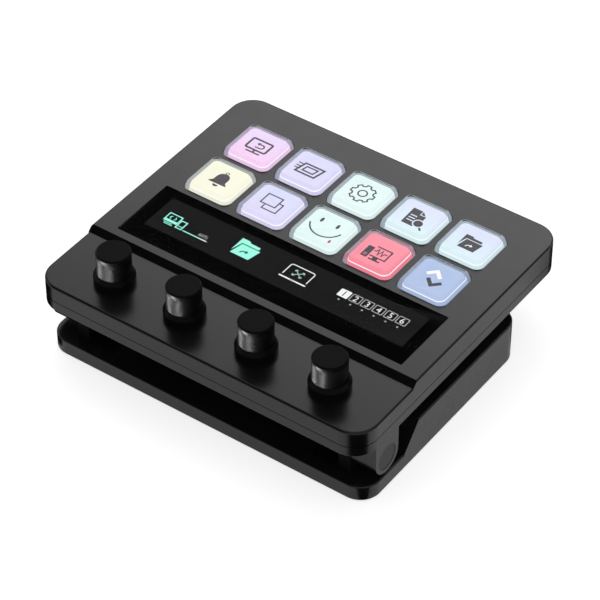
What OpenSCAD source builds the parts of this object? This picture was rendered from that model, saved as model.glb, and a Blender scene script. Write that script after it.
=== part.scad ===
// Macro keypad with ten picture keys, a display strip and four push knobs, on a tilting stand.
// Millimetres. X to the right, Y to the back, Z up. The origin is under the middle of the
// console, on the surface that the stand rests on. Places along the depth are counted from
// the console's front face.

/* [Console case] */
// Margin beside the key field
side_margin = 13.25; // [12.5:0.25:18]
// Margin behind the key field
back_margin = 14.6; // [14:0.2:28]
// Radius of the upright corners
case_r = 9.5; // [6:0.5:12]
// Radius of the top edge
edge_r = 0.9; // [0.5:0.1:1.2]
// Radius of the lower edge
lower_edge_r = 0.5; // [0.3:0.1:1]
// Thickness of the side walls
wall = 2.2; // [1.8:0.1:2.6]
// Thickness of the top of the cover
roof = 2; // [1.8:0.1:2.4]
// Thickness of the floor of the case
floor_t = 2; // [1.6:0.1:2.2]
// Height of the knob deck over the console's underside
deck_h = 11; // [10.8:0.1:14]
// Rise from the knob deck to the key plate
step_h = 2.2; // [2:0.1:3]
// Front of the slope between deck and key plate
step_y = 30.7; // [30:0.1:32]
// Depth of that slope
step_run = 2.3; // [1:0.1:3]
// Height of the seam between case and cover, over the underside
seam_h = 4.2; // [3.8:0.1:4.6]
// Height of the shadow line at the seam
seam_gap = 0.3; // [0.2:0.05:0.5]
// Depth of the shadow line
seam_in = 0.5; // [0.3:0.05:0.8]
// Height of the locating lip inside the seam
lip_h = 1.2; // [0.8:0.1:1.6]
// Thickness of the locating lip
lip_t = 0.8; // [0.6:0.1:1]

/* [Keys] */
// Number of key columns
key_cols = 5; // [5:1:5]
// Number of key rows
key_rows = 2; // [2:1:2]
// Gap between the key columns
key_gap_x = 3; // [2.8:0.1:4]
// Gap between the key rows
key_gap_y = 3.2; // [2.8:0.1:4]
// Gap between the glass and the front key row
key_front_gap = 2.8; // [2.6:0.1:4]
// Side of a clear keycap
key_w = 20.3; // [18.5:0.1:22]
// Corner radius of a keycap
key_r = 3.2; // [2:0.1:4]
// Radius of the keycap's upper edge
key_edge_r = 0.8; // [0.4:0.1:1]
// Height of a keycap over the plate
key_rise = 2.4; // [2:0.1:3]
// Thickness of the keycap's window
key_window = 2.2; // [1:0.1:2.4]
// Width of the keycap's retaining flange
key_flange = 1; // [0.8:0.1:1.1]
// Thickness of the retaining flange
key_flange_t = 1.4; // [1:0.1:1.6]
// Travel of a key
key_travel = 1.2; // [0.8:0.1:1.3]
// Width of the clear frame round a key's picture screen
key_frame = 2.45; // [2.2:0.05:2.8]
// Corner radius of the pocket that holds the screen
pocket_r = 2; // [1:0.1:2.4]
// Thickness of a key's picture screen
screen_t = 1.6; // [1.2:0.1:1.8]
// Radius of the stem under a screen
stem_r = 1.7; // [1.4:0.1:2]
// Side of a key switch
switch_w = 6; // [6:0.1:7]
// Height of a key switch
switch_h = 3.4; // [3:0.1:3.6]

/* [Display strip] */
// Margin beside the strip's glass
glass_side = 8.8; // [8:0.2:12]
// Margin between the slope and the glass
glass_front = 3.3; // [3:0.1:5]
// Depth of the strip's glass
glass_d = 29.1; // [27:0.1:32]
// Thickness of the glass
glass_t = 1.1; // [0.9:0.1:1.2]
// Corner radius of the glass
glass_r = 0.3; // [0.2:0.1:2]
// Black border beside the display panel
border_side = 4.8; // [4:0.2:8]
// Black border in front of the panel
border_front = 7.8; // [6:0.1:9]
// Black border behind the panel
border_back = 2.5; // [2:0.1:4]
// Thickness of the panel
panel_t = 2.6; // [2:0.1:2.8]
// Thickness of the bracket under the panel
bracket_t = 1.2; // [1:0.1:1.4]
// How far the bracket reaches past the panel's edges
bracket_over = 0.6; // [0.4:0.1:1]

/* [Knobs] */
// Number of knobs
knob_count = 4; // [4:1:4]
// Pitch of the knobs
knob_pitch = 30.75; // [30:0.05:31.5]
// Middle of the knobs, from the front face
knob_y = 15.8; // [15:0.1:16.5]
// Radius of a knob's rim
knob_r = 6.4; // [6.2:0.05:7]
// How far the grip band lies inside the rim
grip_in = 0.15; // [0.1:0.05:0.3]
// Height of a knob's top over the deck
knob_h = 13.5; // [12.5:0.1:15]
// Height of the smooth rim
knob_rim_h = 0.9; // [0.6:0.1:1.4]
// Bevel round a knob's top
knob_bevel = 0.6; // [0.2:0.1:0.8]
// Travel of a pressed knob
knob_travel = 0.5; // [0.3:0.1:0.6]
// Wall of a knob
knob_wall = 1.3; // [1:0.1:1.6]
// Wall of the hub inside a knob
hub_wall = 1.1; // [0.9:0.1:1.4]
// Wall of the collar round a knob's foot
collar_wall = 1.05; // [0.8:0.05:1.3]
// Flat lip inside the collar's shoulder
collar_lip = 0.15; // [0.1:0.05:0.3]
// Height of the collar
collar_h = 4.6; // [4:0.1:5]
// Height at which the collar's shoulder starts
collar_shoulder_h = 2.8; // [1.8:0.1:3.2]
// Thickness of the collar's floor
collar_floor = 0.7; // [0.5:0.1:0.9]
// Radius of an encoder shaft
shaft_r = 3; // [2.8:0.1:3.1]
// Length of the shaft inside the knob
shaft_grip = 7.4; // [6:0.1:8]
// Depth of the flat on the shaft
shaft_flat = 1.5; // [1:0.1:1.6]
// Radius of the encoder's bushing
bushing_r = 3.5; // [3.4:0.05:3.6]
// Height of the bushing over the deck
bushing_h = 2; // [1.6:0.1:2.2]
// Side of an encoder body
encoder_w = 12; // [11:0.1:13]
// Thickness of an encoder's floor
encoder_floor = 0.4; // [0.3:0.1:0.5]

/* [Boards and screws] */
// Margin beside the main board
board_side = 11.5; // [11.2:0.1:12]
// Margin in front of the main board
board_front = 4; // [3.6:0.1:4.5]
// Margin behind the main board
board_back = 3.6; // [3.4:0.1:4.5]
// Corner radius of the board, the strip's bracket and the weight
plate_corner = 2; // [1:0.5:3]
// Thickness of the main board
board_t = 1.6; // [1.2:0.1:1.6]
// Height of the board's supports over the floor
board_rise = 1.1; // [1:0.1:1.3]
// Width of the port's shell
port_w = 8.9; // [8.9:0.1:9]
// Height of the port's shell
port_h = 3.2; // [3.1:0.1:3.3]
// Depth of the port's shell
port_d = 7.3; // [7:0.1:8]
// Sheet of the port's shell
port_sheet = 0.3; // [0.2:0.05:0.4]
// How far the port's mouth lies inside the rear face
port_in = 0.6; // [0.3:0.1:1]
// Width of the tongue inside the port
tongue_w = 6.6; // [6.4:0.1:6.8]
// Thickness of the tongue
tongue_t = 0.7; // [0.6:0.1:0.8]
// Distance of a case screw from the console's side
case_screw_x = 7.5; // [7:0.1:8]
// Distance of the middle case screws behind the glass
case_screw_mid = 6.6; // [5:0.2:20]
// Distance of the rear case screws from the back
case_screw_back = 8.6; // [8:0.2:10]
// How far a case screw reaches into the cover
case_screw_bite = 4; // [3:0.2:4.4]
// Distance of a front board screw from the console's side
post_front_x = 20; // [18:0.5:24]
// Distance of a front board screw from the front
post_front_y = 29; // [27:0.5:32]
// Distance of a rear board screw from the console's side
post_back_x = 18; // [16:0.5:24]
// Distance of a rear board screw from the back
post_back_y = 9.6; // [8:0.2:10.4]
// Radius of a board post
post_r = 2.6; // [2.2:0.1:3]
// Skin under a board screw's hole
post_skin = 0.6; // [0.4:0.1:1]
// Radius of a small screw's shank
screw_r = 1.1; // [1:0.05:1.2]
// Radius of a small screw's head
head_r = 2; // [1.8:0.1:2.1]
// Height of a small screw's head
head_h = 1.1; // [0.9:0.1:1.2]
// How deep a case screw's head lies in its recess
head_sink = 0.3; // [0:0.1:0.4]
// Radius of a screw boss
boss_r = 3; // [2.8:0.1:3.1]
// Radius of a strip screw's shank
strip_screw_r = 0.77; // [0.7:0.01:0.85]
// Radius of a strip screw's head
strip_head_r = 1.6; // [1.4:0.1:1.8]
// Height of a strip screw's head
strip_head_h = 0.8; // [0.6:0.1:1]
// Length of a strip screw's shank
strip_screw_l = 3; // [2.6:0.1:3.4]

/* [Stand] */
// How far the stand's sides lie inside the console's
stand_in = 0.5; // [0:0.1:1]
// Depth of the stand
stand_d = 96.6; // [94:0.2:104]
// Front edge of the stand, from the console's front face
stand_y = 4.4; // [4:0.1:5]
// Radius of the stand's upright corners
stand_r = 8; // [6:0.5:10]
// Radius of the stand's top edges
stand_edge_r = 0.6; // [0.3:0.1:1]
// Height of the stand's front plate
plate_h = 6; // [5.6:0.1:6.4]
// Height of the stand's rear box
box_h = 16.4; // [14:0.1:17]
// Front of the slope up to the rear box, from the stand's front edge
slope_y = 22.7; // [22.4:0.1:24]
// Depth of that slope
slope_run = 8.7; // [7:0.1:10]
// Thickness of the stand's walls
stand_wall = 2.4; // [2.2:0.1:2.8]
// Width of the ledge that the bottom plate sits on
ledge = 0.8; // [0.6:0.1:1]
// Thickness of the bottom plate
bottom_t = 1.6; // [1.4:0.1:1.8]
// Radius of a rubber foot
foot_r = 5; // [4:0.1:6]
// How far a foot stands out of the bottom plate
foot_rise = 0.8; // [0.5:0.1:1]
// Depth of a foot's pocket
foot_pocket = 0.8; // [0.6:0.1:0.9]
// Distance of the feet from the stand's edges
foot_inset = 13; // [12:0.5:14]
// Room beside the steel weight
weight_side = 19.1; // [17:0.1:30]
// Room in front of the weight and behind it
weight_end = 9.8; // [9.4:0.1:14]
// Thickness of the steel weight
weight_t = 8; // [6:0.5:10]
// Distance of the outer screws from the stand's edges
stand_screw_in = 7; // [6.6:0.1:8]
// Distance of the rear screws from the stand's sides
stand_screw_rear = 26; // [24:0.5:30]
// Distance of the front screws from the middle
stand_screw_front = 26; // [16:0.5:28]
// Length of a stand screw's shank
stand_screw_l = 3.4; // [3:0.1:3.5]

/* [Hinge] */
// Hinge axis, from the console's front face
pivot_y = 15.7; // [15.5:0.1:16]
// Hinge axis, over the stand's underside
pivot_h = 15.1; // [15:0.1:16]
// Console's underside over the hinge axis
ear_drop = 8.9; // [8.8:0.1:10]
// Radius of the ear's round end
ear_r = 6.7; // [6.4:0.1:6.8]
// Thickness of an ear
ear_t = 10; // [9:0.1:11]
// Radius of the round cap on an ear
cap_r = 4.9; // [4.4:0.1:5]
// Thickness of that cap
cap_t = 1.5; // [1:0.1:1.8]
// Radius of the hinge pin
pin_r = 2.5; // [2:0.1:2.8]
// Radius of the pin's head
pin_head_r = 4; // [3.6:0.1:4.4]
// Thickness of the pin's head
pin_head_t = 1.5; // [1:0.1:2]
// Radius of the bracket's lug
lug_r = 6.2; // [5.8:0.1:6.4]
// Thickness of the bracket's lug
lug_t = 5; // [4:0.1:6]
// Thickness of the bracket's foot
bracket_foot_t = 1.6; // [1.4:0.1:1.8]
// Length of the bracket's foot inward from the lug
bracket_foot_l = 11; // [10:0.5:12]
// Distance of a bracket screw from the foot's inner end
bracket_screw_in = 3.4; // [3:0.1:4]
// Distance of a bracket screw from the foot's long edges
bracket_screw_edge = 2.9; // [2.6:0.1:3.2]
// Thickness of a friction washer
washer_t = 0.5; // [0.4:0.1:0.6]
// Radius of a friction washer
washer_r = 5.5; // [5:0.1:5.8]

/* [Hidden] */
$fn = 64;
// Clearances: moving cap in its hole, running fits, fixed parts, faces that slide past
gap_move = 0.3;
gap_run = 0.06;
gap_fit = 0.1;
gap_face = 0.2;
gap_hub = 0.02;
gap_plate = 0.15;
// How far a cut runs past a face, and the spare depth of a screw's hole
eps = 1;
hole_spare = 0.4;

key_pitch_x = key_w + key_gap_x;
key_pitch_y = key_w + key_gap_y;
case_w = key_cols * key_pitch_x - key_gap_x + 2 * side_margin;
glass_w = case_w - 2 * glass_side;
glass_y = step_y + step_run + glass_front;
key_front_y = glass_y + glass_d + key_front_gap;
key_field_y = key_front_y + (key_w + (key_rows - 1) * key_pitch_y) / 2;
case_d = key_front_y + key_rows * key_pitch_y - key_gap_y + back_margin;
panel_w = glass_w - 2 * border_side;
panel_d = glass_d - border_front - border_back;
bracket_d = panel_d + 2 * bracket_over;
board_w = case_w - 2 * board_side;
board_d = case_d - board_front - board_back;
stand_w = case_w - 2 * stand_in;

front = -case_d / 2;
stand_z = foot_rise;
pivot_z = stand_z + pivot_h;
case_z = pivot_z + ear_drop;
seam_z = case_z + seam_h;
deck_z = case_z + deck_h;
top_z = deck_z + step_h;
floor_z = case_z + floor_t;
board_z = floor_z + board_rise;
board_top = board_z + board_t;
plate_z = stand_z + plate_h;
box_z = stand_z + box_h;
deck_under = deck_z - roof;
top_under = top_z - roof;
raised_y = step_y + step_run + wall;

hole_w = key_w + 2 * gap_move;
hole_r = key_r + gap_move;
flange_w = hole_w + 2 * key_flange;
flange_z = top_under - gap_move - key_flange_t;
screen_w = key_w - 2 * key_frame;
pocket_w = screen_w + 2 * gap_fit;
cap_ceiling = top_z + key_rise - key_window;
screen_z = cap_ceiling - screen_t;
seat_r = 2 * stem_r;
seat_t = 1;
switch_floor = 0.6;
switch_corner = 0.6;
stem_bottom = board_top + switch_floor + key_travel + gap_move;

panel_y = glass_y + border_front;
panel_z = top_z - glass_t - panel_t;
strip_boss_r = 2.2;
strip_boss_in = 0.8;
strip_boss_x = case_w / 2 - wall - strip_boss_r - strip_boss_in;
strip_mid_y = panel_y + panel_d / 2;
strip_bracket_w = 2 * (strip_boss_x + strip_boss_r - gap_face);

collar_in = knob_r - grip_in + gap_move;
collar_r = collar_in + collar_wall;
knob_bottom = deck_z + collar_floor + knob_travel + gap_move;
knob_top = deck_z + knob_h;
hub_r = shaft_r + hub_wall;
hub_bottom = deck_z + bushing_h + knob_travel + gap_move;
shaft_top = hub_bottom + shaft_grip;
pusher_t = 0.9;
pusher_r = shaft_r - gap_fit;
pusher_z = board_top + encoder_floor + knob_travel + gap_fit;
shaft_bottom = pusher_z + pusher_t + gap_run;
encoder_top = deck_under - gap_fit;
encoder_corner = 0.8;

port_z = board_top;
port_y = case_d - port_in - port_d;
tongue_in = 0.8;
port_floor = 0.5;

thread_r = screw_r + gap_fit / 2;
strip_thread_r = strip_screw_r + gap_fit / 2;
case_screw_l = seam_h - head_h - head_sink + case_screw_bite;
case_boss = [for (sx = [-1, 1], p = [
    [knob_pitch, knob_y],
    [case_w / 2 - case_screw_x, glass_y + glass_d + case_screw_mid],
    [case_w / 2 - case_screw_x, case_d - case_screw_back]
]) [sx * p[0], p[1]]];
board_post = [for (sx = [-1, 1], p = [
    [case_w / 2 - post_front_x, post_front_y],
    [case_w / 2 - post_back_x, case_d - post_back_y]
]) [sx * p[0], p[1]]];
board_screw_l = board_t + board_rise + floor_t - post_skin - gap_fit;

ear_in = case_w / 2 - ear_t;
cap_recess = cap_t + gap_fit;
pin_end = case_w / 2 - cap_recess - gap_move;
lug_out = ear_in - gap_face - washer_t;
lug_in = lug_out - lug_t;
foot_in = lug_in - bracket_foot_l;
bracket_screw_x = foot_in + bracket_screw_in;
bracket_screw_dy = lug_r - bracket_screw_edge;
bracket_head_z = plate_z - head_h - gap_fit;
pad_bottom = stand_z + bottom_t;
bracket_screw_l = bracket_head_z - pad_bottom - gap_move;

stand_front = front + stand_y;
slope_front = stand_front + slope_y;
slope_back = slope_front + slope_run;
box_y = slope_y + slope_run + stand_wall / 2;
box_inner_d = stand_d - stand_wall - box_y;
weight_w = stand_w - 2 * (stand_wall + weight_side);
weight_d = box_inner_d - 2 * weight_end;
stand_boss = [for (sx = [-1, 1], p = [
    [stand_w / 2 - stand_screw_in, slope_y + slope_run + stand_screw_in],
    [stand_w / 2 - stand_screw_rear, stand_d - stand_screw_in],
    [stand_screw_front, stand_screw_in]
]) [sx * p[0], p[1]]];

key_x = [for (i = [0 : key_cols * key_rows - 1]) (i % key_cols - (key_cols - 1) / 2) * key_pitch_x];
key_y = [for (i = [0 : key_cols * key_rows - 1])
    key_field_y + (floor(i / key_cols) - (key_rows - 1) / 2) * -key_pitch_y];
knob_x = [for (i = [0 : knob_count - 1]) (i - (knob_count - 1) / 2) * knob_pitch];

// A rectangle with round corners, centred in X, from y = 0 to y = d
module round_rect(w, d, r) {
    translate([-w / 2 + r, 0]) square([w - 2 * r, d]);
    translate([-w / 2, r]) square([w, d - 2 * r]);
    for (x = [-w / 2 + r, w / 2 - r], y = [r, d - r]) translate([x, y]) circle(r);
}

// A slab with round upright corners
module slab(w, d, h, r) {
    linear_extrude(h) round_rect(w, d, r);
}

// A square slab about its own middle
module pad(w, h, r) {
    translate([0, -w / 2, 0]) slab(w, w, h, r);
}

// The section of a slab whose upper edges are round
module soft_section(d, h, e) {
    square([d, h - e]);
    translate([e, 0]) square([d - 2 * e, h]);
    for (x = [e, d - e]) translate([x, h - e]) circle(e);
}

// A slab with round upright corners and a round upper edge
module soft_slab(w, d, h, r, e) {
    translate([-w / 2 + r, 0, 0]) rotate([90, 0, 90]) linear_extrude(w - 2 * r) soft_section(d, h, e);
    translate([-w / 2, d - r, 0]) rotate([90, 0, 0]) linear_extrude(d - 2 * r) soft_section(w, h, e);
    for (x = [-w / 2 + r, w / 2 - r], y = [r, d - r]) translate([x, y, 0]) rotate_extrude() {
        square([r, h - e]);
        square([r - e, h]);
        translate([r - e, h - e]) circle(e);
    }
}

// An outline given as [y, z] points, drawn across the whole width
module across(points, w) {
    translate([-w / 2, 0, 0]) rotate([90, 0, 90]) linear_extrude(w) polygon(points);
}

// A round bar along X from x0 to x1, about the hinge axis
module pivot_bar(r, x0, x1) {
    translate([x0, front + pivot_y, pivot_z]) rotate([0, 90, 0]) cylinder(r = r, h = x1 - x0);
}

// A screw with a hexagon recess, whose head rests at z = 0 and whose shank runs up
module screw(shank_l) {
    drive_r = 0.45 * head_r;
    drive_h = 0.6 * head_h;
    difference() {
        union() {
            translate([0, 0, -head_h]) cylinder(r = head_r, h = head_h);
            cylinder(r = screw_r, h = shank_l);
        }
        translate([0, 0, -head_h - eps]) cylinder(r = drive_r, h = eps + drive_h, $fn = 6);
    }
}

// ---- Stand ----

module stand_outline() {
    translate([0, stand_front, stand_z]) soft_slab(stand_w, stand_d, plate_h, stand_r, stand_edge_r);
    intersection() {
        translate([0, stand_front, stand_z]) soft_slab(stand_w, stand_d, box_h, stand_r, stand_edge_r);
        across([
            [slope_front, stand_z], [slope_front, plate_z], [slope_back, box_z],
            [slope_back, box_z + eps], [-front, box_z + eps], [-front, stand_z]
        ], stand_w + 2 * eps);
    }
}

module stand_cavity() {
    inner_w = stand_w - 2 * stand_wall;
    inner_d = stand_d - 2 * stand_wall;
    inner_r = stand_r - stand_wall;
    rim = stand_wall - ledge;
    translate([0, stand_front + rim, stand_z - eps])
        slab(stand_w - 2 * rim, stand_d - 2 * rim, bottom_t + eps, stand_r - rim);
    translate([0, stand_front + stand_wall, stand_z + bottom_t - eps])
        slab(inner_w, inner_d, plate_h - stand_wall - bottom_t + eps, inner_r);
    translate([0, stand_front + box_y, stand_z + bottom_t - eps])
        slab(inner_w, box_inner_d, box_h - stand_wall - bottom_t + eps, inner_r);
}

// A block as wide and deep as a bracket's foot and a margin all round, from z up by h
module bracket_block(side, margin, z, h) {
    mirror([side < 0 ? 1 : 0, 0, 0]) translate([foot_in - margin, front + pivot_y - lug_r - margin, z])
        cube([lug_out - foot_in + 2 * margin, 2 * (lug_r + margin), h]);
}

module bracket_screw_places() {
    for (sx = [-1, 1], sy = [-1, 1])
        translate([sx * bracket_screw_x, front + pivot_y + sy * bracket_screw_dy, 0]) children();
}

module stand_base() {
    skin = stand_wall / 2;
    color([0.16, 0.16, 0.17]) difference() {
        union() {
            difference() {
                stand_outline();
                stand_cavity();
            }
            for (side = [-1, 1]) bracket_block(side, skin, pad_bottom, plate_h - bottom_t - gap_move);
            for (p = stand_boss) translate([p[0], stand_front + p[1], pad_bottom])
                cylinder(r = boss_r, h = (p[1] > slope_y ? box_h : plate_h) - bottom_t - skin);
        }
        for (side = [-1, 1]) bracket_block(side, gap_plate, plate_z - bracket_foot_t, bracket_foot_t + eps);
        bracket_screw_places() translate([0, 0, pad_bottom - eps])
            cylinder(r = thread_r, h = plate_h - bottom_t);
        for (p = stand_boss) translate([p[0], stand_front + p[1], pad_bottom - eps])
            cylinder(r = thread_r, h = stand_screw_l + eps);
    }
}

module stand_bottom() {
    rim = stand_wall - ledge + gap_plate;
    color([0.1, 0.1, 0.1]) difference() {
        translate([0, stand_front + rim, stand_z])
            slab(stand_w - 2 * rim, stand_d - 2 * rim, bottom_t, stand_r - rim);
        foot_places() translate([0, 0, stand_z - eps])
            cylinder(r = foot_r + gap_fit, h = foot_pocket + eps);
        for (p = stand_boss) translate([p[0], stand_front + p[1], stand_z - eps]) {
            cylinder(r = thread_r, h = bottom_t + 2 * eps);
            cylinder(r = head_r + gap_fit, h = head_h + eps);
        }
    }
}

module foot_places() {
    for (x = [-1, 1], y = [foot_inset, stand_d - foot_inset])
        translate([x * (stand_w / 2 - foot_inset), stand_front + y, 0]) children();
}

module rubber_feet() {
    color([0.05, 0.05, 0.05]) foot_places() cylinder(r = foot_r, h = foot_rise + foot_pocket);
}

module stand_weight() {
    color([0.5, 0.5, 0.52]) translate([0, stand_front + box_y + weight_end, pad_bottom])
        slab(weight_w, weight_d, weight_t, plate_corner);
}

module stand_screws() {
    color([0.3, 0.3, 0.3]) for (p = stand_boss)
        translate([p[0], stand_front + p[1], stand_z + head_h]) screw(stand_screw_l);
}

module hinge_bracket(side) {
    color([0.35, 0.35, 0.37]) mirror([side < 0 ? 1 : 0, 0, 0]) difference() {
        union() {
            translate([foot_in, front + pivot_y - lug_r, plate_z - bracket_foot_t])
                cube([lug_out - foot_in, 2 * lug_r, bracket_foot_t]);
            translate([lug_in, front + pivot_y - lug_r, plate_z - bracket_foot_t])
                cube([lug_t, 2 * lug_r, pivot_z - plate_z + bracket_foot_t]);
            pivot_bar(lug_r, lug_in, lug_out);
        }
        pivot_bar(pin_r + gap_fit / 2, lug_in - eps, lug_out + eps);
        for (sy = [-1, 1])
            translate([bracket_screw_x, front + pivot_y + sy * bracket_screw_dy, bracket_head_z]) {
                cylinder(r = head_r + gap_fit, h = head_h + eps);
                translate([0, 0, -bracket_foot_t]) cylinder(r = thread_r, h = bracket_foot_t + eps / 2);
            }
    }
}

module hinge_bracket_left() { hinge_bracket(-1); }
module hinge_bracket_right() { hinge_bracket(1); }

module bracket_screws() {
    color([0.5, 0.5, 0.5]) bracket_screw_places() translate([0, 0, bracket_head_z])
        mirror([0, 0, 1]) screw(bracket_screw_l);
}

module hinge_pin(side) {
    color([0.7, 0.7, 0.72]) mirror([side < 0 ? 1 : 0, 0, 0]) {
        pivot_bar(pin_r, lug_in, pin_end);
        pivot_bar(pin_head_r, lug_in - pin_head_t, lug_in);
    }
}

module hinge_pin_left() { hinge_pin(-1); }
module hinge_pin_right() { hinge_pin(1); }

module friction_washers() {
    color([0.8, 0.78, 0.7]) for (side = [-1, 1]) mirror([side < 0 ? 1 : 0, 0, 0]) difference() {
        pivot_bar(washer_r, lug_out, lug_out + washer_t);
        pivot_bar(pin_r + gap_fit / 2, lug_out - eps, lug_out + washer_t + eps);
    }
}

// ---- Console ----

module ear(side) {
    mirror([side < 0 ? 1 : 0, 0, 0]) {
        pivot_bar(ear_r, ear_in, case_w / 2);
        translate([ear_in, front + pivot_y - ear_r, pivot_z])
            cube([ear_t, 2 * ear_r, ear_drop + floor_t / 2]);
    }
}

module bottom_case() {
    inner = wall + gap_fit;
    color([0.22, 0.22, 0.23]) difference() {
        union() {
            difference() {
                translate([0, front, seam_z]) mirror([0, 0, 1])
                    soft_slab(case_w, case_d, seam_h, case_r, lower_edge_r);
                translate([0, front + wall, floor_z])
                    slab(case_w - 2 * wall, case_d - 2 * wall, seam_h, case_r - wall);
            }
            difference() {
                translate([0, front + inner, floor_z - floor_t / 2]) slab(case_w - 2 * inner,
                    case_d - 2 * inner, seam_h - floor_t / 2 + lip_h, case_r - inner);
                translate([0, front + inner + lip_t, floor_z - floor_t]) slab(case_w - 2 * (inner + lip_t),
                    case_d - 2 * (inner + lip_t), seam_h + lip_h + floor_t, case_r - inner - lip_t);
                translate([-port_w / 2 - eps, -front - wall - 2 * lip_t, seam_z - eps])
                    cube([port_w + 2 * eps, 3 * lip_t, lip_h + 2 * eps]);
            }
            for (p = case_boss) translate([p[0], front + p[1], floor_z - floor_t / 2])
                cylinder(r = boss_r, h = seam_h - floor_t / 2);
            for (p = board_post) translate([p[0], front + p[1], floor_z - floor_t / 2])
                cylinder(r = post_r, h = board_rise + floor_t / 2);
            for (side = [-1, 1]) ear(side);
        }
        for (side = [-1, 1]) mirror([side < 0 ? 1 : 0, 0, 0]) {
            pivot_bar(pin_r + gap_run, ear_in - eps, case_w / 2 + eps);
            pivot_bar(cap_r + gap_fit, case_w / 2 - cap_recess, case_w / 2 + eps);
        }
        for (p = case_boss) translate([p[0], front + p[1], case_z - eps]) {
            cylinder(r = thread_r, h = seam_h + 2 * eps);
            cylinder(r = head_r + gap_fit, h = head_h + head_sink + eps);
        }
        for (p = board_post) translate([p[0], front + p[1], case_z + post_skin])
            cylinder(r = thread_r, h = floor_t + board_rise);
    }
}

module key_places() {
    for (i = [0 : key_cols * key_rows - 1]) translate([key_x[i], front + key_y[i], 0]) children();
}

module knob_places() {
    for (i = [0 : knob_count - 1]) translate([knob_x[i], front + knob_y, 0]) children();
}

module cover_outline() {
    translate([0, front + seam_in, seam_z])
        slab(case_w - 2 * seam_in, case_d - 2 * seam_in, seam_gap + eps, case_r - seam_in);
    translate([0, front, seam_z + seam_gap])
        soft_slab(case_w, case_d, deck_z - seam_z - seam_gap, case_r, edge_r);
    intersection() {
        translate([0, front, seam_z + seam_gap])
            soft_slab(case_w, case_d, top_z - seam_z - seam_gap, case_r, edge_r);
        across([
            [front + step_y, deck_under], [front + step_y, deck_z], [front + step_y + step_run, top_z],
            [front + step_y + step_run, top_z + eps], [-front + eps, top_z + eps], [-front + eps, deck_under]
        ], case_w + 2 * eps);
    }
}

module strip_boss_places() {
    for (x = [-strip_boss_x, strip_boss_x]) translate([x, front + strip_mid_y, 0]) children();
}

module top_cover() {
    color([0.25, 0.25, 0.26]) difference() {
        union() {
            difference() {
                cover_outline();
                translate([0, front + wall, seam_z - eps])
                    slab(case_w - 2 * wall, case_d - 2 * wall, deck_under - seam_z + eps, case_r - wall);
                translate([0, front + raised_y, seam_z - eps])
                    slab(case_w - 2 * wall, case_d - wall - raised_y, top_under - seam_z + eps, case_r - wall);
            }
            for (p = case_boss) translate([p[0], front + p[1], seam_z])
                cylinder(r = boss_r, h = (p[1] > raised_y ? top_under : deck_under) - seam_z + roof / 2);
            strip_boss_places() translate([0, 0, panel_z])
                cylinder(r = strip_boss_r, h = top_under - panel_z + roof / 2);
        }
        translate([0, front + glass_y - gap_fit, top_z - glass_t])
            slab(glass_w + 2 * gap_fit, glass_d + 2 * gap_fit, glass_t + eps, glass_r + gap_fit);
        translate([-panel_w / 2 - gap_fit, front + panel_y - gap_fit, top_under - eps])
            cube([panel_w + 2 * gap_fit, panel_d + 2 * gap_fit, roof + 2 * eps]);
        key_places() translate([0, 0, top_under - eps]) pad(hole_w, roof + 2 * eps, hole_r);
        knob_places() translate([0, 0, deck_under - eps])
            cylinder(r = bushing_r + 2 * gap_fit, h = roof + 2 * eps);
        for (p = case_boss) translate([p[0], front + p[1], seam_z - eps])
            cylinder(r = thread_r, h = case_screw_bite + hole_spare + eps);
        strip_boss_places() translate([0, 0, panel_z - eps])
            cylinder(r = strip_thread_r, h = strip_screw_l - bracket_t + eps);
        translate([0, -front + eps, port_z + port_h / 2]) rotate([90, 0, 0])
            linear_extrude(wall + 2 * eps) slot(port_w + 2 * gap_move, port_h + 2 * gap_move);
    }
}

// A slot with round ends, centred
module slot(w, h) {
    for (x = [-1, 1]) translate([x * (w - h) / 2, 0]) circle(h / 2);
    translate([-(w - h) / 2, -h / 2]) square([w - h, h]);
}

module pin_cap(side) {
    color([0.3, 0.29, 0.28]) mirror([side < 0 ? 1 : 0, 0, 0])
        pivot_bar(cap_r, case_w / 2 - cap_recess, case_w / 2 - gap_fit);
}

module pin_cap_left() { pin_cap(-1); }
module pin_cap_right() { pin_cap(1); }

module case_screws() {
    color([0.3, 0.3, 0.3]) for (p = case_boss)
        translate([p[0], front + p[1], case_z + head_h + head_sink]) screw(case_screw_l);
}

module main_board() {
    color([0.05, 0.3, 0.15]) difference() {
        translate([0, front + board_front, board_z]) slab(board_w, board_d, board_t, plate_corner);
        for (p = case_boss) translate([p[0], front + p[1], board_z - eps])
            cylinder(r = boss_r + gap_move, h = board_t + 2 * eps);
        for (p = board_post) translate([p[0], front + p[1], board_z - eps])
            cylinder(r = thread_r, h = board_t + 2 * eps);
    }
}

module board_screws() {
    color([0.8, 0.8, 0.8]) for (p = board_post) translate([p[0], front + p[1], board_top])
        mirror([0, 0, 1]) screw(board_screw_l);
}

module usb_socket() {
    color([0.75, 0.75, 0.77]) translate([0, front + port_y + port_d, port_z + port_h / 2]) rotate([90, 0, 0])
        difference() {
            linear_extrude(port_d) slot(port_w, port_h);
            difference() {
                translate([0, 0, -eps]) linear_extrude(port_d - port_floor + eps)
                    slot(port_w - 2 * port_sheet, port_h - 2 * port_sheet);
                translate([-tongue_w / 2, -tongue_t / 2, tongue_in]) cube([tongue_w, tongue_t, port_d]);
            }
        }
}

module key_switches() {
    color([0.12, 0.12, 0.12]) key_places() difference() {
        translate([0, 0, board_top]) pad(switch_w, switch_h, switch_corner);
        translate([0, 0, board_top + switch_floor]) cylinder(r = stem_r + gap_run, h = switch_h);
    }
}

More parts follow.
